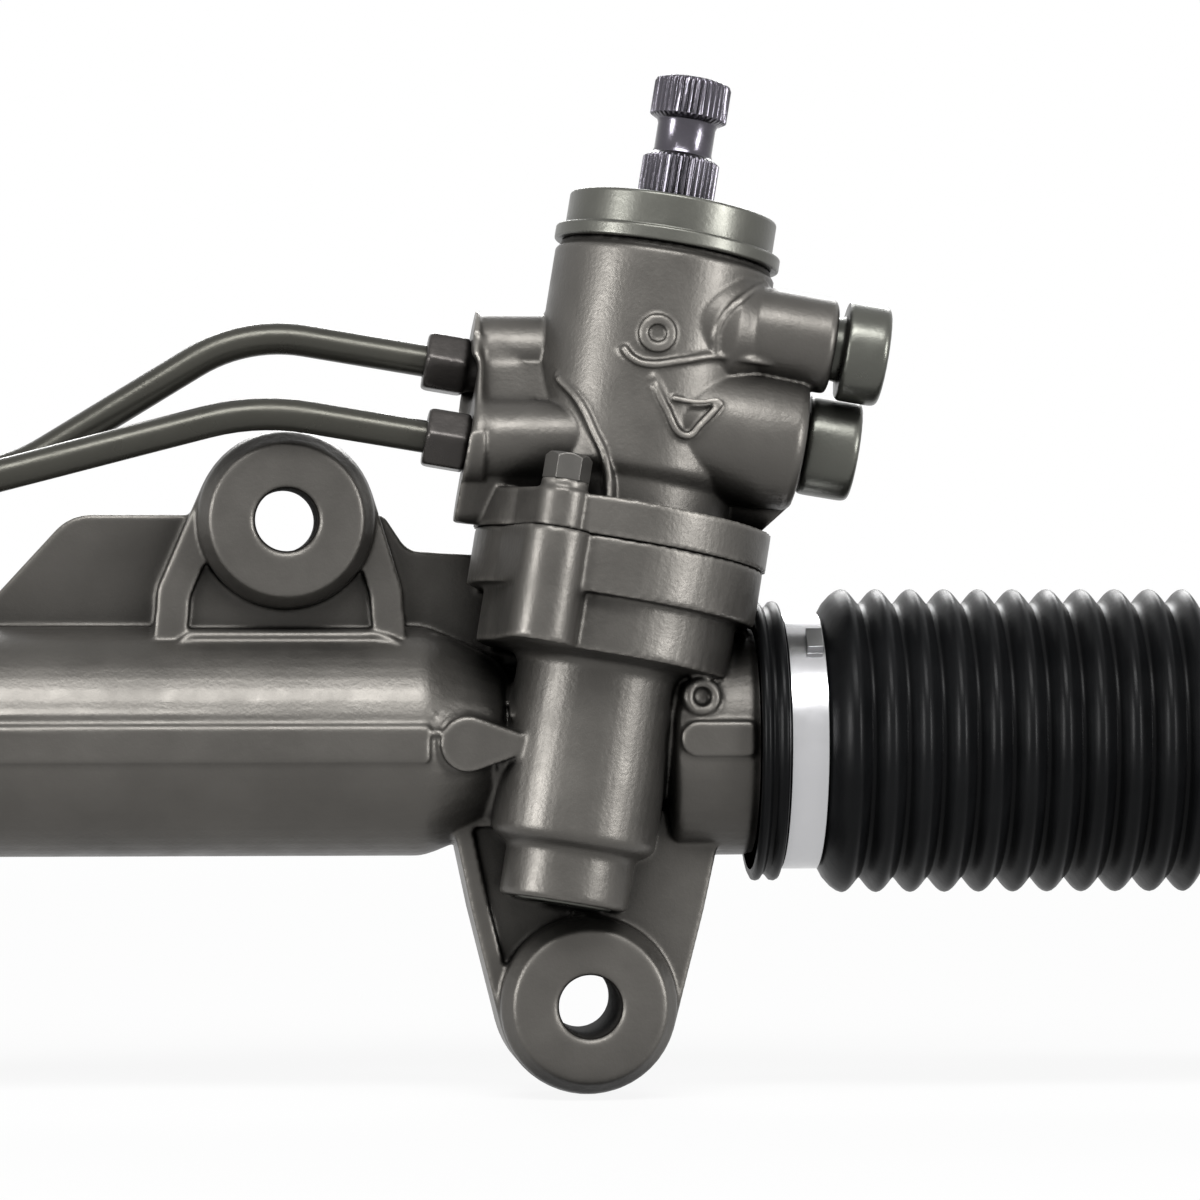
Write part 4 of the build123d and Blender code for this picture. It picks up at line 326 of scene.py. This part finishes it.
def lathe(name, place, profile, segments, look, radius_at=None, closed=False):
    """A turned piece: (radius, height) points in millimetres round the z axis of place.

    A closed profile makes a ring, and an open one gets a disc at each end."""
    verts, faces = [], []
    rings = len(profile)
    for r, h in profile:
        for k in range(segments):
            angle = 2 * math.pi * k / segments
            radius = radius_at(r, h, angle) if radius_at else r
            point = (radius * math.cos(angle) * MM, radius * math.sin(angle) * MM, h * MM)
            verts.append(place @ Vector(point))
    for i in range(rings if closed else rings - 1):
        j = (i + 1) % rings
        for k in range(segments):
            n = (k + 1) % segments
            faces.append(
                (i * segments + k, i * segments + n, j * segments + n, j * segments + k)
            )
    if not closed:
        faces.append(tuple(range(segments - 1, -1, -1)))
        faces.append(tuple((rings - 1) * segments + k for k in range(segments)))
    mesh = bpy.data.meshes.new(name)
    mesh.from_pydata([tuple(v) for v in verts], [], faces)
    mesh.validate()
    mesh.update()
    obj = bpy.data.objects.new(name, mesh)
    bpy.context.scene.collection.objects.link(obj)
    mesh.materials.append(look)
    mesh.shade_smooth()
    return obj


def sharp(obj):
    """Keep the edges of a smooth piece crisp where they turn sharply."""
    mesh = obj.data
    faces_of = {}
    for polygon in mesh.polygons:
        for key in polygon.edge_keys:
            faces_of.setdefault(key, []).append(polygon.normal.copy())
    for edge in mesh.edges:
        normals = faces_of.get(edge.key, [])
        if len(normals) == 2 and normals[0].angle(normals[1], 0.0) > SHARP_ANGLE:
            edge.use_edge_sharp = True
    return obj


# Castings. Each ridge is a radius and points of the surface, in millimetres.
VALVE_RIDGES = [
    (1.0, [(-8.4, -26.8, 154.7), (-3.5, -33.2, 148.4), (-0.1, -36.6, 140.7),
           (2.0, -38.2, 135.6), (3.1, -39.6, 127.0), (2.2, -44.5, 119.5)]),
    (0.9, [(43.4, -21.7, 178.3), (36.5, -33.3, 174.2), (31.7, -35.1, 169.7),
           (29.9, -35.2, 166.0), (29.8, -34.4, 161.9), (30.0, -34.0, 160.0)]),
    (0.9, [(6.8, -36.5, 162.0), (8.9, -37.4, 159.3), (12.5, -38.1, 157.8), (20.6, -37.6, 158.6),
           (30.0, -34.0, 160.0), (38.4, -31.3, 159.1), (48.6, -28.5, 157.8)]),
    (0.9, [(14.4, -38.2, 152.7), (17.1, -38.7, 147.0), (22.1, -38.5, 140.3),
           (25.7, -38.3, 143.2), (30.9, -37.6, 148.7)]),
    (0.7, [(18.6, -38.4, 149.6), (25.0, -38.2, 148.6), (30.4, -37.6, 149.2)]),
]
GEAR_RIDGES = [
    (0.8, [(-38.4, -6.9, 91.8), (-28.8, -4.4, 88.3), (-22.3, -8.1, 84.4), (-19.6, -13.2, 78.0),
           (-19.4, -22.5, 71.5)]),
    (0.8, [(-21.6, -24.5, 61.5), (-23.0, -19.5, 56.4), (-24.2, -15.5, 49.6),
           (-24.4, -10.5, 44.0)]),
    (0.6, [(-370.0, -27.6, 72.1), (-200.0, -27.6, 72.1), (-38.4, -26.9, 71.8)]),
    (0.5, [(-370.0, -29.3, 68.1), (-200.0, -29.3, 68.1), (-37.0, -28.2, 67.9)]),
    (0.7, [(-98.4, -13.4, 91.4), (-76.2, -13.4, 91.4), (-54.5, -13.4, 91.4)]),
    (0.7, [(-54.5, -13.4, 91.8), (-50.0, -13.6, 90.8), (-46.7, -14.6, 89.4)]),
    (0.7, [(-103.0, -13.4, 87.0), (-101.0, -13.9, 89.6), (-98.4, -13.4, 91.4)]),
]

# Turned forms that merge with the castings, as (radius, height) in millimetres
DIMPLED_PROFILE = [
    (0.02, -6.0), (4.9, -6.0), (4.9, 1.6), (4.1, 2.6), (2.5, 2.6), (2.1, 0.4), (0.02, 0.4),
]
RETURN_PROFILE = [
    (0.02, -4.0), (9.0, -3.0), (13.2, 0.0), (15.8, 5.0), (16.8, 10.0), (17.0, 16.0),
    (16.8, 30.0), (16.2, 37.6), (15.2, 39.2), (13.0, 39.7), (0.02, 39.8),
]
PRESSURE_PROFILE = [
    (0.02, 7.0), (8.0, 7.4), (10.4, 9.0), (11.4, 12.0), (11.6, 30.0), (11.4, 42.0),
    (10.6, 43.0), (0.02, 43.1),
]

# The dimpled boss under the flange, in metres
DIMPLED_START = (0.0268, -0.0262, 0.0764)
DIMPLED_ALONG = (0.15, -1, 0.1)
DIMPLED_ACROSS = (1, 0, 0)

# The port bodies' places on the tower: offset, less than 0 to the front, and height
RETURN_OFFSET, RETURN_HEIGHT = -9.3, 79.0
PRESSURE_OFFSET, PRESSURE_HEIGHT = -12.0, 104.8

# Cell sizes in metres and rounds of smoothing
FINE_GRID = 0.0004
VALVE_GRID = 0.00045
GEAR_GRID = 0.0006
SMOOTHING = 0.5
CAST_ROUNDS = 5
PLUG_ROUNDS = 30
NUT_ROUNDS = 36

# The block with the two pipe ports is softer: its centre and reach in millimetres
PIPE_BLOCK_CENTRE = (-30.0, -20.0, 150.0)
PIPE_BLOCK_REACH = 17.0
PIPE_BLOCK_ROUNDS = 90


def evaluated_mesh(obj):
    """A mesh of an object with its curves and modifiers worked out."""
    bpy.context.view_layer.update()
    shown = obj.evaluated_get(bpy.context.evaluated_depsgraph_get())
    return bpy.data.meshes.new_from_object(shown)


def ridge(radius, points):
    """A raised line of the casting, through points of its surface in millimetres."""
    curve = bpy.data.curves.new("ridge", "CURVE")
    curve.dimensions = "3D"
    curve.bevel_depth = radius * MM
    curve.use_fill_caps = True
    spline = curve.splines.new("BEZIER")
    spline.bezier_points.add(len(points) - 1)
    for knot, place in zip(spline.bezier_points, points):
        knot.co = [c * MM for c in place]
        knot.handle_left_type = knot.handle_right_type = "AUTO"
    obj = bpy.data.objects.new("ridge", curve)
    bpy.context.scene.collection.objects.link(obj)
    mesh = evaluated_mesh(obj)
    bpy.data.objects.remove(obj)
    return mesh


def turned_mesh(name, place, profile):
    """The mesh alone of a turned form."""
    obj = lathe(name, place, profile, CASTING_SEGMENTS, CAST)
    mesh = obj.data
    bpy.data.objects.remove(obj)
    return mesh


def port_body(name, offset, height, profile):
    """A cast body along a side port, which swells out of the front of the barrel."""
    shift = Matrix.Translation((0, offset * MM, height * MM))
    sideways = Matrix.Rotation(math.pi / 2, 4, "Y")
    return turned_mesh(name, TOWER @ shift @ sideways, profile)


def soften(mesh, centre, reach, rounds):
    """Smooth a mesh further, within a reach of a place."""
    shape = bmesh.new()
    shape.from_mesh(mesh)
    near = [v for v in shape.verts if (v.co - Vector(centre) * MM).length < reach * MM]
    for _ in range(rounds):
        bmesh.ops.smooth_vert(shape, verts=near, factor=SMOOTHING, use_axis_x=True,
                              use_axis_y=True, use_axis_z=True)
    shape.to_mesh(mesh)
    shape.free()


def soft_casting(node, grid, rounds, extras=(), softer=None, look=CAST):
    """The piece of the same name with its extra forms and the rounded corners of a casting."""
    source = frame["nodes"][node]
    joined = bmesh.new()
    joined.from_mesh(source.data)
    joined.transform(source.matrix_world)
    for extra in extras:
        joined.from_mesh(extra)
    base = bpy.data.meshes.new(f"base_{node}")
    joined.to_mesh(base)
    joined.free()
    obj = bpy.data.objects.new(f"soft_{node}", base)
    bpy.context.scene.collection.objects.link(obj)
    remesh = obj.modifiers.new("grid", "REMESH")
    remesh.mode = "VOXEL"
    remesh.voxel_size = grid
    smooth = obj.modifiers.new("smooth", "SMOOTH")
    smooth.factor = SMOOTHING
    smooth.iterations = rounds
    mesh = evaluated_mesh(obj)
    obj.modifiers.clear()
    obj.data = mesh
    if softer:
        soften(mesh, *softer)
    mesh.materials.clear()
    mesh.materials.append(look)
    mesh.shade_smooth()
    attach(obj, "housing")
    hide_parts(node)


soft_casting("pressure_port_plug", FINE_GRID, PLUG_ROUNDS, look=PLUGS)
soft_casting("return_port_plug", FINE_GRID, PLUG_ROUNDS, look=PLUGS)
soft_casting("valve_pipe_nuts", FINE_GRID, NUT_ROUNDS, look=NUTS)

valve_extras = [ridge(radius, points) for radius, points in VALVE_RIDGES]
valve_extras += [
    port_body("return_body", RETURN_OFFSET, RETURN_HEIGHT, RETURN_PROFILE),
    port_body("pressure_body", PRESSURE_OFFSET, PRESSURE_HEIGHT, PRESSURE_PROFILE),
]
pipe_block = (PIPE_BLOCK_CENTRE, PIPE_BLOCK_REACH, PIPE_BLOCK_ROUNDS)
soft_casting("valve_housing", VALVE_GRID, CAST_ROUNDS, valve_extras, softer=pipe_block)

dimpled_line = line(DIMPLED_START, DIMPLED_ALONG, DIMPLED_ACROSS)
gear_extras = [ridge(radius, points) for radius, points in GEAR_RIDGES]
gear_extras += [turned_mesh("dimpled_boss", dimpled_line, DIMPLED_PROFILE)]
soft_casting("gear_housing", GEAR_GRID, CAST_ROUNDS, gear_extras)

# Bellows, in millimetres outwards from the housing's end
CUFF_START = -20.5
RING_END = -13.5
CUFF_RADIUS = 31.2
CUFF_END = -3.5
FIRST_CREST = 2.5
PITCH = 8.65
FULL_FOLDS = 11
TAPER_FOLDS = 7
CREST_RADIUS = 38.0
SMALL_CREST_RADIUS = 19.0
FOLD_DEPTH = 3.8
VALLEY_SHAPE = 0.75
LAST_FOLD = FULL_FOLDS + TAPER_FOLDS - 1
LAST_CREST = FIRST_CREST + LAST_FOLD * PITCH
SMALL_CUFF = LAST_CREST + PITCH / 2
SMALL_CUFF_RADIUS = 10.0
SMALL_CUFF_END = SMALL_CUFF + 13.0
WALL = 1.6
FOLD_STEPS = 12
FOLD_STEP = PITCH / FOLD_STEPS
END_MARGIN = 1.0
BELLOWS_SEGMENTS = 96

# Where the bellows has followed the slide, then the sweep and then the rise in full
SLIDE_END = 116.0
SWEEP_END = 130.0

CUFF_PROFILE = [
    (29.8, CUFF_START),
    (33.8, CUFF_START),
    (34.8, CUFF_START + 0.5),
    (35.0, CUFF_START + 1.2),
    (34.8, CUFF_START + 1.9),
    (33.9, CUFF_START + 2.5),
    (33.2, CUFF_START + 3.2),
    (33.9, RING_END - 2.9),
    (34.8, RING_END - 2.2),
    (35.0, RING_END - 1.3),
    (34.6, RING_END - 0.5),
    (33.4, RING_END - 0.1),
    (31.8, RING_END),
    (CUFF_RADIUS, RING_END + 0.3),
    (CUFF_RADIUS, CUFF_END - 0.3),
    (32.0, CUFF_END + 0.2),
    (34.6, CUFF_END + 1.6),
    (36.6, CUFF_END + 3.4),
    (37.6, CUFF_END + 4.8),
]
TAIL_PROFILE = [
    (SMALL_CREST_RADIUS - 1.2, LAST_CREST + 1.2),
    (SMALL_CREST_RADIUS - 4.0, LAST_CREST + 2.6),
    (SMALL_CUFF_RADIUS + 1.6, SMALL_CUFF - 0.8),
    (SMALL_CUFF_RADIUS, SMALL_CUFF),
    (SMALL_CUFF_RADIUS, SMALL_CUFF_END - 0.8),
    (SMALL_CUFF_RADIUS - 0.8, SMALL_CUFF_END),
]


def fold_radius(z):
    """The bellows' outer radius among the folds: round crests and narrower round valleys."""
    fold = (z - FIRST_CREST) / PITCH
    taper = max(0.0, min(max(fold, 0.0), LAST_FOLD) - FULL_FOLDS + 1) / TAPER_FOLDS
    crest = CREST_RADIUS + (SMALL_CREST_RADIUS - CREST_RADIUS) * taper
    wave = 0.5 + 0.5 * math.cos(2 * math.pi * fold)
    return crest - FOLD_DEPTH * (1 - wave ** VALLEY_SHAPE)


def shell(outer):
    """Close an outer profile with an inner one, a wall's thickness inside."""
    inner = [(r - WALL, z) for r, z in reversed(outer)]
    return outer + inner


def bellows(side, hand):
    """A bellows in three lengths, one for each joint that it crosses."""
    place = end_line(side)
    steps = round((LAST_CREST - FIRST_CREST) / FOLD_STEP)
    heights = [FIRST_CREST + i * FOLD_STEP for i in range(steps + 1)]
    whole = CUFF_PROFILE + [(fold_radius(z), z) for z in heights] + TAIL_PROFILE

    def stretch(name, low, high):
        part = [p for p in whole if low <= p[1] <= high]
        return lathe(name, place, shell(part), BELLOWS_SEGMENTS, RUBBER, closed=True)

    marks = [
        FIRST_CREST + FOLD_STEP * round((z - FIRST_CREST) / FOLD_STEP)
        for z in (SLIDE_END, SWEEP_END)
    ]
    slack = FOLD_STEP / 4
    main = stretch(f"bellows_main_{hand}", CUFF_START - END_MARGIN, marks[0] + slack)
    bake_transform(main)
    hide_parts(f"bellows_{hand}")
    middle = stretch(f"bellows_middle_{hand}", marks[0] - slack, marks[1] + slack)
    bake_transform(middle)
    end = stretch(f"bellows_end_{hand}", marks[1] - slack, SMALL_CUFF_END + END_MARGIN)
    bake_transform(end)


bellows(1, "right")
bellows(-1, "left")

# Splined input shaft, in millimetres along the tower
SPLINES = 36
SPLINE_RADIUS = 9.6
SPLINE_DEPTH = 0.75
SPLINE_LANDS = ((135.6, 145.6), (156.6, 164.8))
LAND_TOLERANCE = 0.01
FLANK_SLOPE = 2.4
FLANK_START = 0.25
SHAFT_SEGMENTS = SPLINES * 8
SHAFT_PROFILE = [
    (4.55, 147.9),
    (4.55, 53.0),
    (9.0, 53.0),
    (9.5, 53.5),
    (9.5, 60.0),
    (11.0, 60.0),
    (11.0, 110.0),
    (9.0, 110.0),
    (9.0, 134.2),
    (SPLINE_RADIUS - 0.85, 135.0),
    (SPLINE_RADIUS, 135.6),
    (SPLINE_RADIUS, 145.6),
    (8.8, 146.2),
    (7.6, 147.0),
    (7.25, 148.0),
    (7.25, 154.4),
    (7.6, 155.4),
    (8.8, 156.1),
    (SPLINE_RADIUS, 156.6),
    (SPLINE_RADIUS, 164.8),
    (9.2, 165.6),
    (8.6, 166.0),
    (4.4, 166.0),
    (3.6, 165.4),
    (3.6, 161.0),
]


def splined(radius, height, angle):
    """Cut serrations into the two lands of the input shaft."""
    on_land = any(low <= height <= high for low, high in SPLINE_LANDS)
    if not on_land or radius < SPLINE_RADIUS - LAND_TOLERANCE:
        return radius
    tooth = (angle * SPLINES / (2 * math.pi)) % 1.0
    flank = min(1.0, max(0.0, FLANK_SLOPE * abs(tooth - 0.5) - FLANK_START))
    return radius - SPLINE_DEPTH * flank


shaft = sharp(lathe("splined_shaft", TOWER, SHAFT_PROFILE, SHAFT_SEGMENTS, SHAFT, splined))
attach(shaft, "input_shaft")
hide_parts("input_shaft")

# Floor and world. Camera, glossy and transmission rays see them white.
FLOOR_Z = -0.0234
FLOOR_REACH = 30.0
FLOOR_COLOUR = (0.55, 0.55, 0.55, 1)
FLOOR_WHITE_SHARE = 0.9
WORLD_STRENGTH = 0.10
WHITE = (1, 1, 1, 1)


def sees_white(nodes, links):
    """1 for the rays that should see the white ground."""
    path = nodes.new("ShaderNodeLightPath")
    seen = path.outputs["Is Camera Ray"]
    for ray in ("Is Glossy Ray", "Is Transmission Ray"):
        either = nodes.new("ShaderNodeMath")
        either.operation = "MAXIMUM"
        links.new(seen, either.inputs[0])
        links.new(path.outputs[ray], either.inputs[1])
        seen = either.outputs[0]
    return seen


def show(nodes, links, output, factor, plain, white):
    """Send the plain shader to the output, and the white one by a factor."""
    blend = nodes.new("ShaderNodeMixShader")
    links.new(factor, blend.inputs[0])
    links.new(plain.outputs[0], blend.inputs[1])
    links.new(white.outputs[0], blend.inputs[2])
    links.new(blend.outputs[0], nodes.new(output).inputs["Surface"])


paper = bpy.data.materials.new("white_paper")
paper.use_nodes = True
nodes, links = paper.node_tree.nodes, paper.node_tree.links
nodes.clear()
matte = nodes.new("ShaderNodeBsdfDiffuse")
matte.inputs["Color"].default_value = FLOOR_COLOUR
glow = nodes.new("ShaderNodeEmission")
glow.inputs["Color"].default_value = WHITE
share = nodes.new("ShaderNodeMath")
share.operation = "MULTIPLY"
share.inputs[1].default_value = FLOOR_WHITE_SHARE
links.new(sees_white(nodes, links), share.inputs[0])
show(nodes, links, "ShaderNodeOutputMaterial", share.outputs[0], matte, glow)

corners = [(-1, -1), (1, -1), (1, 1), (-1, 1)]
floor_mesh = bpy.data.meshes.new("floor")
floor_mesh.from_pydata(
    [(x * FLOOR_REACH, y * FLOOR_REACH, FLOOR_Z) for x, y in corners], [], [(0, 1, 2, 3)]
)
floor_mesh.materials.append(paper)
floor = bpy.data.objects.new("floor", floor_mesh)
bpy.context.scene.collection.objects.link(floor)

world = bpy.data.worlds.new("studio")
world.use_nodes = True
bpy.context.scene.world = world
nodes, links = world.node_tree.nodes, world.node_tree.links
nodes.clear()
dim = nodes.new("ShaderNodeBackground")
dim.inputs["Color"].default_value = WHITE
dim.inputs["Strength"].default_value = WORLD_STRENGTH
bright = nodes.new("ShaderNodeBackground")
bright.inputs["Color"].default_value = WHITE
bright.inputs["Strength"].default_value = 1.0
show(nodes, links, "ShaderNodeOutputWorld", sees_white(nodes, links), dim, bright)

# Lamps: name, place, target, width, height and watts
LAMPS = [
    ("left_strip", (-2.25, -1.15, 0.45), (0.0, 0.0, 0.12), 0.6, 1.1, 66),
    ("right_strip", (2.1, -1.6, 0.45), (0.0, 0.0, 0.12), 0.6, 1.1, 66),
    ("front_top", (-0.15, -1.65, 1.95), (0.0, 0.0, 0.08), 1.9, 0.6, 88),
    ("back", (0.2, 2.2, 1.4), (0.0, 0.0, 0.1), 1.6, 0.8, 44),
]
for name, place, target, width, height, watts in LAMPS:
    data = bpy.data.lights.new(name, "AREA")
    data.shape = "RECTANGLE"
    data.size, data.size_y = width, height
    data.energy = watts
    lamp = bpy.data.objects.new(name, data)
    bpy.context.scene.collection.objects.link(lamp)
    lamp.location = place
    lamp.rotation_mode = "QUATERNION"
    lamp.rotation_quaternion = (Vector(target) - Vector(place)).to_track_quat("-Z", "Y")

# Camera at the photo's angle
AZIMUTH = math.radians(-4.5)
DISTANCE = 1.5
AIM = Vector((0.004, 0.0, 0.10025))
SENSOR_WIDTH = 36.0
LENS = 180.0
camera_data = bpy.data.cameras.new("camera")
camera_data.sensor_width = SENSOR_WIDTH
camera_data.lens = LENS
camera = bpy.data.objects.new("camera", camera_data)
bpy.context.scene.collection.objects.link(camera)
back = Vector((math.sin(AZIMUTH), -math.cos(AZIMUTH), 0.0))
camera.location = AIM + back * DISTANCE
camera.rotation_mode = "QUATERNION"
camera.rotation_quaternion = (-back).to_track_quat("-Z", "Y")
bpy.context.scene.camera = camera
bpy.context.scene.view_settings.view_transform = "Standard"
